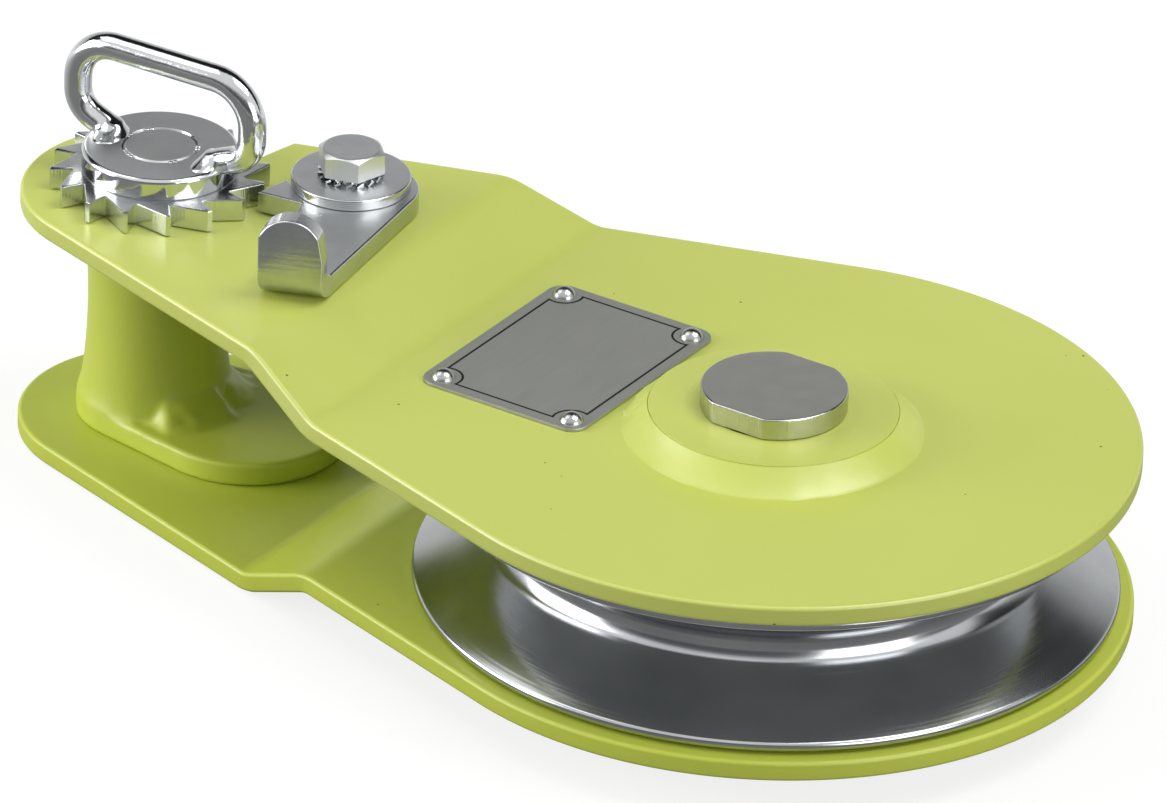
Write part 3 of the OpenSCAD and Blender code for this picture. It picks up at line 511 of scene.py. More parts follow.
def makeHub(name, body, nodes, bore, low, high, upper):
    shape = hubShape
    tall, flat = high - low, shape["flat"]
    # the ring's top runs out to a fine line, where the weld starts and fades into the plate
    profile = [(bore, 0.0)]
    profile += [(bore + out, tall + up) for out, up in (shape["lip"] if upper else ((0, 0),))]
    profile += [(flat + out, tall + up) for out, up in shape["line"]]
    start, top = flat + shape["weld"][0], tall + shape["weld"][1]
    for share in (row / shape["rows"] for row in range(shape["rows"] + 1)):
        profile.append((start + (shape["foot"] - start) * share, top * (1 - share) ** shape["fade"]))
    mesh = bmesh.new()
    rings = []
    for radius, height in profile:
        ring = []
        for i in range(shape["steps"]):
            angle = math.tau * i / shape["steps"]
            out, up = weldPoint(radius, height, angle)
            z = low + up if upper else high - up
            ring.append(mesh.verts.new((out * math.cos(angle), out * math.sin(angle), z)))
        rings.append(ring)
    bridge(mesh, rings + rings[:1])
    return toObject(name, mesh, powderCoat, body, nodes, sharp=40)


upperHub = makeHub("upperHub", "upper_frame", ["upper_hub_ring", "upper_hub_weld"], hubShape["upperBore"],
                   hubLow.z, hubHigh.z, True)
lowerHub = makeHub("lowerHub", "lower_frame", ["lower_hub_ring", "lower_hub_weld"], hubShape["lowerBore"],
                   lowerHubLow.z, lowerHubHigh.z, False)
print("hub rings made")


# axle and its nut
axleShape = dict(headRadius=15.6, flats=14.4, headTall=4.8, shank=12.5, thread=12.0, bevel=0.35, nutBevel=0.4)


def flattedOutline():  # a circle with one flat on each side
    radius = axleShape["headRadius"]
    corner = math.degrees(math.asin(axleShape["flats"] / radius))
    return arcPoints((0, 0), radius, -corner, corner, 48) + arcPoints((0, 0), radius, 180 - corner, 180 + corner, 48)


def makeAxle():
    thread, shank = axleShape["thread"], axleShape["shank"]
    underHead = axleHigh.z - axleShape["headTall"]
    mesh = slab([flattedOutline()], underHead, axleHigh.z, axleShape["bevel"])
    profile = [(0, 0), (thread, 0), (thread, lowerHubHigh.z), (shank, lowerHubHigh.z), (shank, underHead),
               (0, underHead)]
    revolve(roundedProfile(profile, 0.3), 72, mesh=mesh)
    return toObject("axleHead", mesh, headSide, "lower_frame", ["axle"], sharp=40, topMaterial=headSteel)


def makeNut():
    bore = circlePoints((0, 0), axleShape["thread"], 64, clockwise=True)
    mesh = slab([flattedOutline(), bore], nutLow.z, nutHigh.z, axleShape["nutBevel"])
    return toObject("axleNut", mesh, zincCut, "lower_frame", ["axle_nut"], sharp=40)


axleHead = makeAxle()
axleNut = makeNut()
print("axle made")


# sheave: seat is the radius of the groove's bottom, and flank the slope of its sides
sheaveShape = dict(radius=75.0, groove=56.5, seat=6.0, flank=28.0, rim=2.4, rimRound=1.1, hub=28.5, web=6.0, wall=5.4,
                   fillet=3.0, bearing=23.5, land=20.7, stack=26.0, clip=24.75, clipThick=1.79, spacer=2.0)


def sheaveProfile():
    shape = sheaveShape
    half = (sheaveHigh.z - sheaveLow.z) / 2
    seatX, rimRound = shape["groove"] + shape["seat"], shape["rimRound"]
    rimX = shape["radius"] - rimRound
    upper = arcPoints((seatX, 0), shape["seat"], 180, 90 + shape["flank"], 12)
    upper += arcPoints((rimX, half - shape["rim"] + rimRound), rimRound, shape["flank"] - 90, 0, 5)
    upper += arcPoints((rimX, half - rimRound), rimRound, 0, 90, 5)
    wall = polar(shape["seat"] + shape["wall"], 90 + shape["flank"], (seatX, 0))
    webX, web, fillet = shape["groove"] - shape["wall"], shape["web"] / 2, shape["fillet"]
    stack, clipTop, spacer = shape["stack"] / 2, shape["stack"] / 2 + shape["clipThick"], shape["spacer"] / 2
    inside = [(wall.x + (half - wall.y) / math.tan(math.radians(shape["flank"])), half), wall,
              (webX, web + fillet), (webX - fillet, web), (shape["hub"] + fillet, web), (shape["hub"], web + fillet),
              (shape["hub"], half), (shape["bearing"], half), (shape["bearing"], clipTop), (shape["clip"], clipTop),
              (shape["clip"], stack), (shape["bearing"], stack), (shape["bearing"], spacer), (shape["land"], spacer)]
    upper = [tuple(point) for point in upper + inside]
    lower = [(x, -y) for x, y in reversed(upper)]
    middle = (sheaveHigh.z + sheaveLow.z) / 2
    return [(x, y + middle) for x, y in upper + lower[:-1]]


sheaveWheel = toObject("sheaveWheel", revolve(sheaveProfile(), 256), sheaveSteel, "sheave_wheel",
                       ["sheave"], sharp=24)
print("sheave made")


# sling drum and its flange, and the weld between them: half is its half angle round the drum, hollow
# bends its face, and size is its size at shares of its length
drumShape = dict(waist=15.1, end=16.6, foot=17.3, flare=2.2, bore=8.0, cavity=12.0, cavityTop=16.7, overlap=1.5,
                 nose=21.5, reach=24.3, edge=0.7, skin=0.5)
weldShape = dict(reach=6.2, rise=4.8, half=62.0, hollow=1.15, swell=0.7, along=110, across=9,
                 size=((0.0, 0.2), (0.12, 1.0), (0.47, 1.08), (0.53, 0.5), (0.62, 0.85), (0.88, 0.75), (1.0, 0.1)),
                 # lumps in the painted weld: middle and spread of where they are, waves per mm, height
                 lumpOut=(2.6, 3.2), lumpUp=(2.2, 2.8), lumpWaves=0.3, lumpHigh=0.6)


def drumRadius(height):  # waisted between the flange and the top
    half = (drumHigh.z - flangeHigh.z) / 2
    bow = drumShape["end"] - drumShape["waist"]
    turn = (half ** 2 + bow ** 2) / (2 * bow)
    return drumShape["waist"] + turn - math.sqrt(turn ** 2 - (half - height) ** 2)


def fromTable(table, place):  # eases from each value to the next
    for (start, low), (end, high) in zip(table, table[1:]):
        if place <= end:
            share = (place - start) / (end - start)
            return low + (high - low) * share * share * (3 - 2 * share)
    return table[-1][1]


def addDrumWeld(mesh):
    # a hand-laid fillet weld under paint, in two runs with a crater between them
    shape = weldShape
    inner = drumRadius(0) - 1.0
    rings = []
    for i in range(shape["along"] + 1):
        place = i / shape["along"]
        swell = noise.noise(Vector((5 * place, 0.3, 1.7))) * shape["swell"]
        size = fromTable(shape["size"], place)
        points = []
        for share in (step / shape["across"] for step in range(shape["across"] + 1)):
            radius = drumShape["end"] + (shape["reach"] + swell) * size * (1 - share) ** shape["hollow"]
            height = max((shape["rise"] + swell * 0.6) * size * share ** shape["hollow"], 0.0)
            if share > 0.8:  # the upper edge stays in the drum's wall
                radius = max(radius, drumRadius(height) - 0.3)
            points.append((radius, height))
        points += [(inner, shape["rise"] * size * 0.9), (inner, 0.0)]
        angle = shape["half"] * (2 * place - 1)
        rings.append([mesh.verts.new((*polar(radius, angle, (lockX, 0)), flangeHigh.z + height))
                      for radius, height in points])
    bridge(mesh, rings, capped=True)


def makeDrum():
    # drum, flange and their weld are one skin under the paint; the drum flares out to the flange's edge
    shape = drumShape
    tall, sunk = drumHigh.z - drumLow.z, drumLow.z - shape["overlap"]
    side = []
    for i in range(41):
        height = tall * i / 40
        flare = (shape["foot"] - shape["end"]) * math.exp(-height / shape["flare"])
        side.append((drumRadius(height) + flare, drumLow.z + height))
    side[-1] = (side[-1][0] - 0.5, side[-1][1])
    inside = [(shape["bore"], drumHigh.z), (shape["bore"], shape["cavityTop"]), (shape["cavity"], shape["cavityTop"]),
              (shape["cavity"], sunk)]
    mesh = revolve([(side[0][0], sunk)] + side + inside, 160, (lockX, 0))
    lean = math.degrees(math.asin((shape["nose"] - shape["foot"]) / shape["reach"]))
    outline = arcPoints((lockX + shape["reach"], 0), shape["nose"], -90 - lean, 90 + lean, 72)
    outline += arcPoints((lockX, 0), shape["foot"], 90 + lean, 270 - lean, 48)
    hole = circlePoints((lockX, 0), shape["cavity"], 48, clockwise=True)
    slab([outline, hole], flangeLow.z, flangeHigh.z, shape["edge"], 3, mesh)
    addDrumWeld(mesh)
    mesh = fuse(mesh, shape["skin"], 2)
    foot = [vert for vert in mesh.verts if abs(vert.co.z - flangeHigh.z) < 2.2 and vert.co.x < lockX + 6]
    soften(mesh, foot, 9)
    mesh.normal_update()
    lumpy = []
    (out, outSpread), (up, upSpread) = weldShape["lumpOut"], weldShape["lumpUp"]
    for vert in mesh.verts:  # on the weld's side of the drum only
        spot = vert.co - Vector((lockX, 0, flangeHigh.z))
        if spot.x <= 2:
            continue
        off = math.hypot(spot.x, spot.y) - shape["end"] - out
        near = math.exp(-(off / outSpread) ** 2 - ((spot.z - up) / upSpread) ** 2)
        if near > 0.02:
            vert.co += vert.normal * near * noise.noise(spot * weldShape["lumpWaves"]) * weldShape["lumpHigh"]
            lumpy.append(vert)
    soften(mesh, lumpy, 6)
    # drum, flange and weld take the shaded copy of the coat, which paints shade on them
    return toObject("slingDrum", mesh, shadedCoatCopy, "lower_frame",
                    ["sling_drum", "drum_flange", "drum_weld_bead"], sharp=60)


slingDrum = makeDrum()
print("drum made")


# lock: ratchet wheel, disc and screw. phase, land, rake and foot are degrees of the wheel; seam is the
# narrow groove round the screw's end, as points out from the screw, down from the top and rounding
lockShape = dict(tip=23.8, root=19.0, teeth=16, phase=-4.5, land=2.6, rake=0.6, foot=1.6, edge=0.34, discFoot=17.0,
                 discTop=15.9, seam=((0.45, 0.0, 0.1), (0.1, 0.7, 0), (0.0, 0.9, 0)), screw=8.0, neck=6.75,
                 neckLong=8.5, taper=0.8, thread=7.95, groove=0.95, pitch=2.0, turns=17, threadEnd=13.2, pin=5.0)


def makeRatchet():
    shape = lockShape
    outline = []
    for i in range(shape["teeth"]):
        at = shape["phase"] + 360 / shape["teeth"] * i
        root = at + shape["rake"]
        for radius, angle in ((shape["tip"], at - shape["land"]), (shape["tip"], at), (shape["root"], root),
                              (shape["root"], root + shape["foot"])):
            outline.append(polar(radius, angle, (lockX, 0)))
    hole = circlePoints((lockX, 0), shape["screw"], 48, clockwise=True)
    mesh = slab([outline, hole], wheelLow.z, wheelHigh.z, shape["edge"], 2)
    return toObject("ratchetWheel", mesh, zincCut, "screw_lock", ["ratchet_wheel"], sharp=28,
                    topMaterial=zincBright)


def makeDisc():
    bore, foot, top = lockShape["screw"], lockShape["discFoot"], lockShape["discTop"]
    low, high = discLow.z, discHigh.z
    profile = [(bore, low, 0), (foot - 0.2, low, 0), (foot, low + 0.25, 0.1)]
    profile += [(p.x, p.y, 0) for p in arcPoints((top, high - (foot - top)), foot - top, 0, 86, 9)]
    profile.append((top, high, 0))
    profile += [(bore + out, high - down, size) for out, down, size in lockShape["seam"]]
    return toObject("lockDisc", revolve(roundedProfile(profile, 0.2), 160, (lockX, 0)), zincRod, "screw_lock",
                    ["lock_disc"], sharp=28, topMaterial=zincMatt)


def makeScrew():
    # rings stand for the thread, which shows only when the plate is open
    shape = lockShape
    radius, neck, thread, pin = shape["screw"], shape["neck"], shape["thread"], shape["pin"]
    under, core, pitch = wheelLow.z, shape["thread"] - shape["groove"], shape["pitch"]
    neckEnd = under - shape["neckLong"]
    threadTop = neckEnd - shape["taper"]
    profile = [(0, screwHigh.z), (radius - 0.5, screwHigh.z, 0.1), (radius, screwHigh.z - 0.5), (radius, under),
               (neck, under), (neck, neckEnd, 0.4), (thread, threadTop)]
    for i in range(shape["turns"]):
        z = threadTop - 0.3 - pitch * i
        profile += [(thread, z), (core, z - pitch * 0.45), (core, z - pitch * 0.55)]
    profile += [(thread, shape["threadEnd"]), (pin, shape["threadEnd"] - 0.6), (pin, screwLow.z, 0.4), (0, screwLow.z)]
    return toObject("lockScrew", revolve(roundedProfile(profile, 0), 64, (lockX, 0)), zincMatt, "screw_lock",
                    ["lock_screw"], sharp=28)


ratchetWheel = makeRatchet()
lockDisc = makeDisc()
lockScrew = makeScrew()

# the loop stands on the disc; turns are where its legs turn down, and feet are side, place along the
# disc, length and width of the weld pad, and how far the pad lies off the rod
handleShape = dict(rod=3.05, halfWide=22.4, tall=20.2, topBend=9.6, footBend=6.4, footX=12.0, slope=22.0, yaw=1.5,
                   shift=1.0, sunk=0.4, turnDown=3.4, turns=(14.5, 15.6), neckThin=0.5, neckTall=2.6, neckLean=0.5,
                   padDeep=0.6, padFlare=1.7, padLump=0.08, skin=0.3,
                   feet=((-1, 12.4, 3.6, 6.0, -1.8), (1, 12.1, 3.5, 6.2, -0.9)))


def onDisc(x, y, height):  # a point given from the disc's middle, in the handle's own turn
    yaw = math.radians(handleShape["yaw"])
    x += handleShape["shift"]
    return Vector((lockX + x * math.cos(yaw) - y * math.sin(yaw), x * math.sin(yaw) + y * math.cos(yaw),
                   discHigh.z + height))


def handlePath():
    shape = handleShape
    slope, wide, tall, topBend = math.radians(shape["slope"]), shape["halfWide"], shape["tall"], shape["topBend"]

    def onSlope(x):
        return Vector((x, (x - shape["footX"]) * math.tan(slope) - shape["sunk"]))

    footArcX = wide - shape["footBend"]
    legEnd = onSlope(footArcX + shape["footBend"] * math.sin(slope))
    footArcY = legEnd.y + shape["footBend"] * math.cos(slope)
    halves = []
    for turnX in shape["turns"]:
        legStart = onSlope(turnX)
        turnCentre = legStart + Vector((math.sin(slope), -math.cos(slope))) * shape["turnDown"]
        half = arcPoints(turnCentre, shape["turnDown"], 180, 90 + shape["slope"], 10)
        half += [legStart + (legEnd - legStart) * i / 5 for i in range(1, 5)]
        half += arcPoints((footArcX, footArcY), shape["footBend"], shape["slope"] - 90, 0, 14)
        half += [Vector((wide, footArcY + (tall - topBend - footArcY) * i / 3)) for i in (1, 2)]
        half += arcPoints((wide - topBend, tall - topBend), topBend, 0, 90, 18)
        half += [Vector(((wide - topBend) * (1 - i / 5), tall)) for i in range(1, 5)]
        halves.append(half)
    flat = halves[0] + [Vector((0, tall))] + [Vector((-p.x, p.y)) for p in reversed(halves[1])]
    return [onDisc(p.x, 0, p.y) for p in flat]


def makeHandle():
    # bent rod whose feet are drawn out and welded down, then plated as one piece
    shape = handleShape
    mesh = tube(handlePath(), shape["rod"] + 0.02, 40)
    neck = shape["rod"] - shape["neckThin"]
    for side, footX, wide, deep, shift in shape["feet"]:
        rings = []
        for level in range(13):
            rise = (shape["neckTall"] + shape["padDeep"]) * level / 12 - shape["padDeep"]
            spread = max(0.0, 1 - max(rise, 0) / shape["neckTall"]) ** shape["padFlare"]
            outwards = side * (footX + max(rise, 0) * shape["neckLean"])
            ring = []
            for around in circlePoints((0, 0), 1, 48):
                lump = noise.noise(Vector((around.x * 1.6 + side * 3, around.y * 1.6, rise * 0.5)))
                lump = 1 + shape["padLump"] * spread * lump
                ring.append(mesh.verts.new(onDisc(outwards + (neck + (wide - neck) * spread) * lump * around.x,
                                                  shift * spread + (neck + (deep - neck) * spread) * lump * around.y,
                                                  rise)))
            rings.append(ring)
        bridge(mesh, rings, capped=True)
    mesh = fuse(mesh, shape["skin"], 8)
    footTop, footReach = discHigh.z + shape["neckTall"] + 2, 18
    feet = [vert for vert in mesh.verts if vert.co.z < footTop and abs(vert.co.x - lockX - shape["shift"]) < footReach]
    soften(mesh, feet, 14)
    return toObject("loopHandle", mesh, zincRod, "screw_lock", ["lock_handle", "handle_welds"], sharp=70)


# small welds that pin the screw's end in the disc: degrees round the screw and size
tackShape = dict(radius=8.2, sunk=0.25, apart=0.55, flat=0.7,
                 spots=((141, 0.9), (178, 0.6), (-123, 0.65), (-109, 0.8), (-36, 0.9), (29, 0.95)))


def makeTacks():
    shape = tackShape
    mesh = bmesh.new()
    squash = Matrix.Diagonal((1, 1, shape["flat"], 1))
    for angle, size in shape["spots"]:
        centre = Vector((*polar(shape["radius"], angle, (lockX, 0)), discHigh.z - shape["sunk"]))
        for twin in (-shape["apart"], shape["apart"]):
            spot = Matrix.Translation(centre + Vector((*polar(twin, angle + 90), 0)))
            bmesh.ops.create_icosphere(mesh, subdivisions=3, radius=size * 0.75, matrix=spot @ squash)
    return toObject("tackWelds", mesh, zincRod, "screw_lock", sharp=60)


loopHandle = makeHandle()
tackWelds = makeTacks()
print("lock made")


# pawl, given from its pivot in its own turn; the nose's points are given from the lock screw's axis
pawlShape = dict(turn=20.8, end=12.6, heel=(2.3, 0.3), face=48.2, bend=6.4, thick=5.0, tabLeft=-9.2, tabRight=5.8,
                 tabTop=3.2, tabTall=19.4, shoulder=(0.72, 0.28), crown=7.3, crownX=-2.3, crownEnd=330.0,
                 heelSweep=82.0, edgeLean=8.0, nose=(24.0, 2.4), noseRoot=(34.4, 3.6), noseBack=(25.7, 11.3),
                 bore=8.05, edge=0.45)
# the flat blank: its bend starts at bendBegin, and the sheet's middle turns on a radius of neutral
bendBegin = pawlShape["face"] - pawlShape["bend"]
neutral = pawlShape["bend"] - pawlShape["thick"] / 2
arcLong = neutral * math.pi / 2


def pawlTurn(x, y, way=1):  # into the pawl's own turn, or with way=-1 back out of it
    turn = way * math.radians(pawlShape["turn"])
    return Vector((x * math.cos(turn) + y * math.sin(turn), y * math.cos(turn) - x * math.sin(turn)))


def bearing(point):  # direction of a point, in degrees
    return math.degrees(math.atan2(point.y, point.x))


def pawlBlank():
    # outline of the flat blank: below the bend line, y is the length along the sheet
    shape = pawlShape
    end, lean, tabLeft = shape["end"], math.radians(shape["edgeLean"]), shape["tabLeft"]
    heel = pawlTurn(*shape["heel"])
    edgeStart = heel + pawlTurn(end * math.cos(lean), end * math.sin(lean))
    edgeAlong = pawlTurn(math.sin(lean), -math.cos(lean))
    back, nose, root = (pawlTurn(lockX + x - pawlPivot.x, y - pawlPivot.y)
                        for x, y in (shape["noseBack"], shape["nose"], shape["noseRoot"]))
    startAngle = bearing(edgeStart - heel)
    turned = startAngle + shape["heelSweep"]
    outline = arcPoints(heel, end, startAngle, turned, 26)
    # round the pivot to where the edge to the nose leaves the circle
    leaving = bearing(back) + math.degrees(math.acos(min(1, end / back.length)))
    outline += arcPoints((0, 0), end, turned + 2, leaving % 360, 30)
    outline += [back, nose, root]
    outline += [Vector((tabLeft, -bendBegin - arcLong * i / 8)) for i in range(9)]
    # the tab's crown, and its right edge back up to the bend
    tabStart, upright = -bendBegin - arcLong, shape["tabTall"] - shape["bend"]
    leftTurn = math.degrees(math.acos((shape["crownX"] - tabLeft) / shape["crown"]))
    crown = (shape["crownX"], tabStart - upright + shape["crown"])
    outline += arcPoints(crown, shape["crown"], 180 + leftTurn, shape["crownEnd"], 26)
    (across, down), tabTop = shape["shoulder"], shape["tabTop"]
    outline.append(Vector((tabTop + (shape["tabRight"] - tabTop) * across, tabStart - upright * down)))
    for i in range(8, -1, -1):
        y = -bendBegin - neutral * math.sin(math.pi / 2 * i / 8)
        x = edgeStart.x + edgeAlong.x * (y - edgeStart.y) / edgeAlong.y
        outline.append(Vector((x, -bendBegin - arcLong * i / 8)))
    return outline


def makePawl():
    # cut flat, then its tab is bent up
    shape = pawlShape
    half, bendTop = shape["thick"] / 2, pawlLow.z + shape["bend"]
    hole = circlePoints((0, 0), shape["bore"], 48, clockwise=True)
    mesh = slab([pawlBlank(), hole], -half, half, shape["edge"], 3)
    for i in range(15):
        foldLine(mesh, (0, -bendBegin - arcLong * i / 14, 0), (0, 1, 0))
    for vert in mesh.verts:
        x, y, out = vert.co
        past, radius = -bendBegin - y, neutral - out
        if past <= 0:
            z = pawlLow.z + half + out
        elif past < arcLong:
            y = -bendBegin - radius * math.sin(past / neutral)
            z = bendTop - radius * math.cos(past / neutral)
        else:
            y = -bendBegin - radius
            z = bendTop + past - arcLong
        vert.co = (*(pawlPivot + pawlTurn(x, y, -1)), z)
    return toObject("pawlLever", mesh, zincBent, "pawl_lever", ["pawl"], sharp=40, topMaterial=zincSatin)


# pivot: cover washer, star washer and an M8 bolt; lean is how far a star tooth is twisted
pivotShape = dict(cover=13.0, bolt=4.0, head=13.0, headTall=5.3, turn=15.0, perSide=12, chamfer=30.0, face=0.4,
                  under=0.5)
starShape = dict(ring=5.7, bore=4.0, play=0.1, edge=0.12, teeth=18, root=5.4, long=1.85, wide=0.8, half=0.24,
                 lean=0.62)


def makeCover():
    bolt, cover = pivotShape["bolt"], pivotShape["cover"]
    profile = [(bolt, coverLow.z, 0), (cover, coverLow.z, 0.25), (cover, coverHigh.z, 0.45), (bolt, coverHigh.z, 0)]
    return toObject("coverWasher", revolve(roundedProfile(profile, 0.3), 96, pawlPivot), zincBent, "upper_frame",
                    ["cover_washer"], sharp=30, topMaterial=zincSatin)


def makeStarWasher():
    # external teeth, each twisted out of the ring's plane
    shape = starShape
    loops = [circlePoints(pawlPivot, shape["ring"], 72), circlePoints(pawlPivot, shape["bore"], 48, clockwise=True)]
    mesh = slab(loops, starLow.z + shape["play"], starHigh.z - shape["play"], shape["edge"], 2)
    wide, half = shape["wide"], shape["half"]
    section = ((-wide, -half), (wide, -half), (wide, half), (-wide, half))
    for i in range(shape["teeth"]):
        angle = math.tau * i / shape["teeth"]
        along = Vector((math.cos(angle), math.sin(angle), 0))
        across = Vector((-math.sin(angle), math.cos(angle), shape["lean"])).normalized()
        up = along.cross(across)
        start = Vector((*pawlPivot, (starLow.z + starHigh.z) / 2)) + along * shape["root"]
        rings = [[mesh.verts.new(start + along * far + across * x + up * y) for x, y in section]
                 for far in (0, shape["long"])]
        bridge(mesh, rings, capped=True)
    return toObject("starWasher", mesh, zincRod, "upper_frame", ["serrated_washer"], sharp=30)


def makeBolt():
    # hexagon head: the chamfer leaves a flat round face and curved edges on the six sides
    shape = pivotShape
    across, perSide = shape["head"] / 2, shape["perSide"]
    low, high = boltHigh.z - shape["headTall"], boltHigh.z
    corners = [polar(across / math.cos(math.radians(30)), shape["turn"] + 60 * side) for side in range(7)]
    outline = []
    for one, two in zip(corners, corners[1:]):
        outline += [one + (two - one) * i / perSide for i in range(perSide)]
    face, chamfer = across - shape["face"], math.tan(math.radians(shape["chamfer"]))
    levels = [[(p.normalized() * (across - shape["under"]), low) for p in outline],
              [(p, low + 0.15) for p in outline],
              [(p, high - (p.length - face) * chamfer) for p in outline],
              [(p.normalized() * (face + 0.12), high - 0.05) for p in outline],
              [(p.normalized() * (face - 0.15), high) for p in outline]]
    mesh = bmesh.new()
    bridge(mesh, [[mesh.verts.new((*(pawlPivot + p), z)) for p, z in level] for level in levels], capped=True)
    bolt = shape["bolt"]
    revolve([(0, low), (bolt, low), (bolt, boltLow.z), (0, boltLow.z)], 40, pawlPivot, mesh)
    return toObject("pivotBolt", mesh, zincSatin, "upper_frame", ["pawl_bolt"], sharp=28)


pawlLever = makePawl()
coverWasher = makeCover()
starWasher = makeStarWasher()
pivotBolt = makeBolt()
print("pawl made")


# rating plate, left bare but for its border line; notch is the border's step round a rivet
ratingShape = dict(corner=4.0, edge=0.12, inset=2.55, line=0.52, ink=0.015, notch=3.9, rivetInset=4.1, rivet=2.6,
                   dome=1.8, shank=1.6, shankLong=3.5, sunk=0.02)
ratingMiddle = (ratingLow + ratingHigh) / 2
halfX, halfY = (ratingHigh.x - ratingLow.x) / 2, (ratingHigh.y - ratingLow.y) / 2
quarters = ((1, 1), (-1, 1), (-1, -1), (1, -1))


def rivetPlace(sx, sy):
    return Vector((ratingMiddle.x + sx * (halfX - ratingShape["rivetInset"]),
                   ratingMiddle.y + sy * (halfY - ratingShape["rivetInset"])))


def makeRatingSheet():
    corner = ratingShape["corner"]
    outline = []
    for start, (sx, sy) in zip((0, 90, 180, 270), quarters):
        centre = (ratingMiddle.x + sx * (halfX - corner), ratingMiddle.y + sy * (halfY - corner))
        outline += arcPoints(centre, corner, start, start + 90, 10)
    mesh = slab([outline], ratingLow.z, ratingHigh.z, ratingShape["edge"], 2)
    return toObject("ratingSheet", mesh, plateSheet, "upper_frame", ["rating_plate"], sharp=30)


def borderPath(grow):
    # a rectangle whose corners step inwards round the rivets
    inset, notch = ratingShape["inset"] + grow, ratingShape["notch"] + grow
    step = math.sqrt(notch ** 2 - (ratingShape["rivetInset"] - inset) ** 2)
    points = []
    for sx, sy in quarters:
        rivet = rivetPlace(sx, sy)
        upright = Vector((ratingMiddle.x + sx * (halfX - inset), rivet.y - sy * step))
        level = Vector((rivet.x - sx * step, ratingMiddle.y + sy * (halfY - inset)))
        first, last = (upright, level) if sx * sy > 0 else (level, upright)
        start, end = bearing(first - rivet), bearing(last - rivet)
        points += arcPoints(rivet, notch, start, end - 360 if end > start else end, 10)
    return points


def makeBorder():
    loops = [borderPath(0), borderPath(ratingShape["line"])[::-1]]
    mesh = slab(loops, ratingHigh.z - ratingShape["sunk"], ratingHigh.z + ratingShape["ink"], 0.005, 1)
    return toObject("borderLine", mesh, printBlack, "upper_frame", sharp=30)


def makeRivets():
    shape = ratingShape
    under, end = ratingHigh.z - shape["sunk"], ratingLow.z - shape["shankLong"]
    sphere = (shape["rivet"] ** 2 + shape["dome"] ** 2) / (2 * shape["dome"])
    reach = math.asin(shape["rivet"] / sphere)
    middle = ratingHigh.z + shape["dome"] - sphere
    profile = [(sphere * math.sin(reach * i / 9), middle + sphere * math.cos(reach * i / 9)) for i in range(10)]
    profile += [(shape["rivet"] - 0.05, under), (shape["shank"], under), (shape["shank"], end), (0, end)]
    mesh = bmesh.new()
    for sx in (-1, 1):
        for sy in (-1, 1):
            revolve(profile, 48, rivetPlace(sx, sy), mesh)
    return toObject("domeRivets", mesh, rivetMetal, "upper_frame", ["plate_rivets"], sharp=40)


ratingSheet = makeRatingSheet()
borderLine = makeBorder()
domeRivets = makeRivets()
print("rating plate made")


# pieces kept from the CAD
kept = ((headSteel, ("lower_thrust_washer", "upper_thrust_washer", "inner_spacer", "stop_washer")),
        (bearingSteel, ("lower_inner_ring", "upper_inner_ring", "lower_outer_ring", "upper_outer_ring",
                        "bearing_balls")),
        (bushBronze, ("bearing_cages",)), (bushSteel, ("pivot_bush",)), (sealRubber, ("lower_seal", "upper_seal")),
        (springSteel, ("lower_circlip", "upper_circlip", "pawl_spring", "screw_circlip")), (zincCut, ("pawl_post",)))
for material, nodes in kept:
    for node in nodes:
        data = cadNodes[node].data
        data.materials.clear()
        data.materials.append(material)


# floor, lights and camera; lamps are name, place, power in watts and size
studio = dict(floorColour="#7E7E7D", floorSize=8.0, floorGlow=0.82, mirroredGlow=(0.02, 0.85),
              mirroredReach=(0.03, 0.38), horizon="#4A4C4E", zenith="#A4A6A7", skyFade=(0.1, 0.95),
              backdrop=(-0.53, 0.85, 0.0), aim=(-0.05, 0, 0.03),
              lamps=(("leftCeilingBox", (-0.9, -0.22, 1.3), 4.0, 0.85),
                     ("rightCeilingBox", (0.62, 0.3, 1.5), 13.5, 0.95),
                     ("leftBox", (-1.4, -0.9, 0.35), 27.0, 1.1), ("frontBox", (1.65, -0.5, 0.45), 15.0, 1.1)),
              # what metal sees from the backdrop's foot over the ceiling to the open front
              mirrored=((0.0, "#F2F2F0"), (0.08, "#E2E3E2"), (0.155, "#BEBFBF"), (0.2, "#28292A"), (0.4, "#131415"),
                        (0.45, "#FFFFFF"), (0.78, "#FFFFFF"), (0.87, "#85878A"), (0.94, "#55575A"), (1.0, "#8A8C8E")))
white = linearColour("#FFFFFF")

reach = studio["floorSize"] / 2
floorData = bpy.data.meshes.new("floor")
corners = [(-reach, -reach, 0), (reach, -reach, 0), (reach, reach, 0), (-reach, reach, 0)]
floorData.from_pydata(corners, [], [(0, 1, 2, 3)])
floor = bpy.data.objects.new("floor", floorData)
bpy.context.scene.collection.objects.link(floor)
floor.location.z = -0.2 * mm
paper, paperTree, paperShader, paperPlace = startMaterial("studioPaper")
# the paper looks white to the camera and in the metal, and still takes the block's shadow
seen = addNode(paperTree, "ShaderNodeLightPath")
shown = addNode(paperTree, "ShaderNodeMath", {0: seen.outputs["Is Camera Ray"], 1: studio["floorGlow"]},
                operation="MULTIPLY")
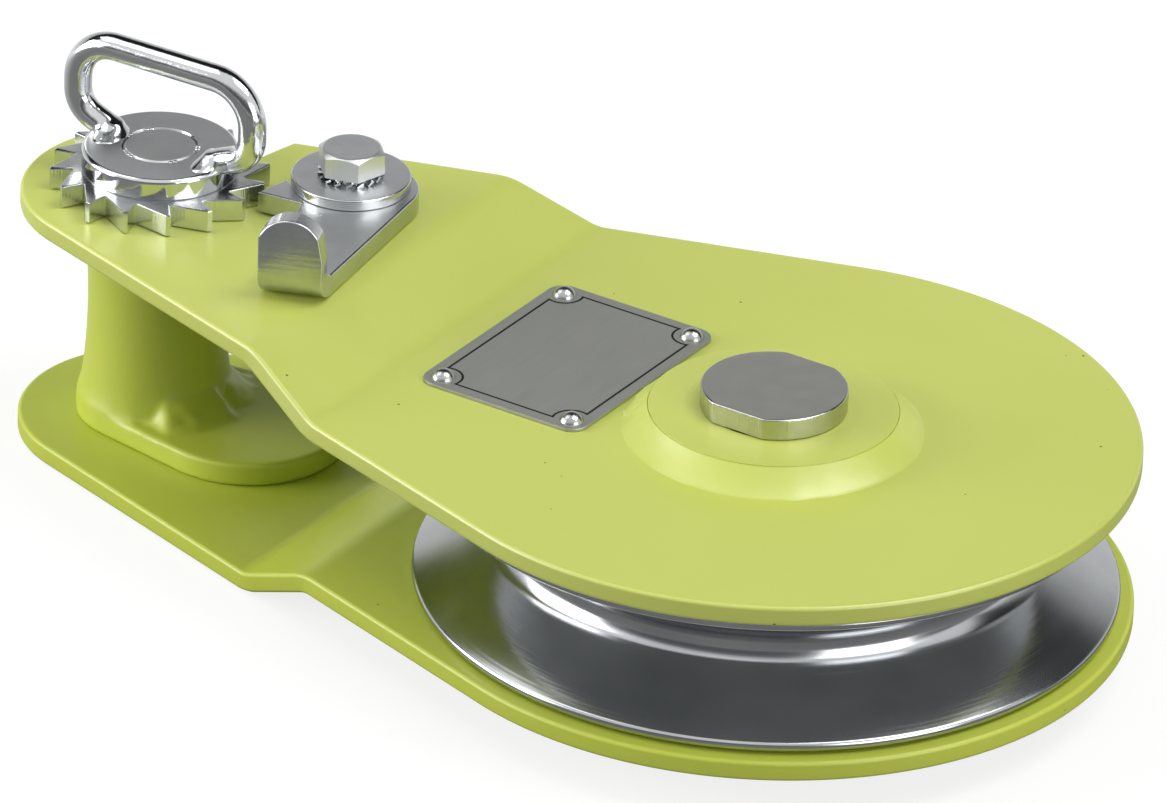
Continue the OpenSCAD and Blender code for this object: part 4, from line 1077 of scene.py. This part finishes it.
# in the metal it is white behind the block and falls off towards the open front
behind = addNode(paperTree, "ShaderNodeVectorMath", {0: paperPlace, 1: studio["backdrop"]}, operation="DOT_PRODUCT")
falling = addNode(paperTree, "ShaderNodeMapRange", {
    "Value": behind.outputs["Value"], "From Min": studio["mirroredReach"][0], "From Max": studio["mirroredReach"][1],
    "To Min": studio["mirroredGlow"][0], "To Max": studio["mirroredGlow"][1]})
glow = addNode(paperTree, "ShaderNodeMath", {0: seen.outputs["Is Glossy Ray"], 1: falling,
                                             2: shown}, operation="MULTIPLY_ADD")
feed(paperTree, paperShader, {"Base Color": linearColour(studio["floorColour"]), "Roughness": 0.9,
                              "Specular IOR Level": 0.1, "Emission Color": white,
                              "Emission Strength": glow})
floorData.materials.append(paper)

world = bpy.data.worlds.new("studioAir")
bpy.context.scene.world = world
world.use_nodes = True
air = world.node_tree
direction = addNode(air, "ShaderNodeTexCoord")
upward = addNode(air, "ShaderNodeSeparateXYZ", {0: direction.outputs["Generated"]})
fade = addNode(air, "ShaderNodeMapRange", {"Value": upward.outputs["Z"], "From Min": studio["skyFade"][0],
                                           "From Max": studio["skyFade"][1]})
plainSky = addNode(air, "ShaderNodeMix", {"Factor": fade, 6: linearColour(studio["horizon"]),
                                          7: linearColour(studio["zenith"])}, data_type="RGBA")
# metal mirrors a studio: pale backdrop, dark gap over it, a wide soft box overhead, open front
away = addNode(air, "ShaderNodeVectorMath", {0: direction.outputs["Generated"], 1: studio["backdrop"]},
               operation="DOT_PRODUCT")
over = addNode(air, "ShaderNodeMath", {0: upward.outputs["Z"], 1: away.outputs["Value"]}, operation="ARCTAN2")
turnOver = addNode(air, "ShaderNodeMath", {0: over, 1: math.pi}, operation="DIVIDE")
ramp = addNode(air, "ShaderNodeValToRGB", {0: turnOver})
while len(ramp.color_ramp.elements) < len(studio["mirrored"]):
    ramp.color_ramp.elements.new(1.0)
for stop, (place, colour) in zip(ramp.color_ramp.elements, studio["mirrored"]):
    stop.position = place
    stop.color = linearColour(colour)
rays = addNode(air, "ShaderNodeLightPath")
mirroredSky = addNode(air, "ShaderNodeMix", {"Factor": rays.outputs["Is Glossy Ray"], 6: plainSky.outputs[2],
                                             7: ramp}, data_type="RGBA")
shownSky = addNode(air, "ShaderNodeMix", {"Factor": rays.outputs["Is Camera Ray"], 6: mirroredSky.outputs[2],
                                          7: white}, data_type="RGBA")
feed(air, air.nodes["Background"], {"Color": shownSky.outputs[2], "Strength": 1.0})

for name, place, power, size in studio["lamps"]:
    light = bpy.data.lights.new(name, "AREA")
    light.shape = "SQUARE"
    light.size = size
    light.energy = power
    lamp = bpy.data.objects.new(name, light)
    bpy.context.scene.collection.objects.link(lamp)
    lamp.location = place
    lamp.rotation_euler = (Vector(studio["aim"]) - Vector(place)).to_track_quat("-Z", "Y").to_euler()

# long lens from above the near corner, turned a little about its own axis
view = dict(azimuth=32.065, elevation=28.017, roll=2.123, distance=2.5714, lens=370.5, aim=(-0.05895, 0.01872, 0.0294))
azimuth, elevation, roll = (math.radians(view[angle]) for angle in ("azimuth", "elevation", "roll"))
back = Vector((math.sin(azimuth) * math.cos(elevation), -math.cos(azimuth) * math.cos(elevation), math.sin(elevation)))
flatRight = Vector((math.cos(azimuth), math.sin(azimuth), 0))
flatUp = back.cross(flatRight)
right = flatRight * math.cos(roll) + flatUp * math.sin(roll)
up = flatUp * math.cos(roll) - flatRight * math.sin(roll)
place = Vector(view["aim"]) + back * view["distance"]
cameraData = bpy.data.cameras.new("camera")
cameraData.sensor_width = 36
cameraData.lens = view["lens"]
cameraData.clip_end = 50
camera = bpy.data.objects.new("camera", cameraData)
bpy.context.scene.collection.objects.link(camera)
camera.matrix_world = Matrix.Translation(place) @ Matrix((right, up, back)).transposed().to_4x4()
bpy.context.scene.camera = camera
bpy.context.scene.view_settings.view_transform = "Standard"
print("studio set")
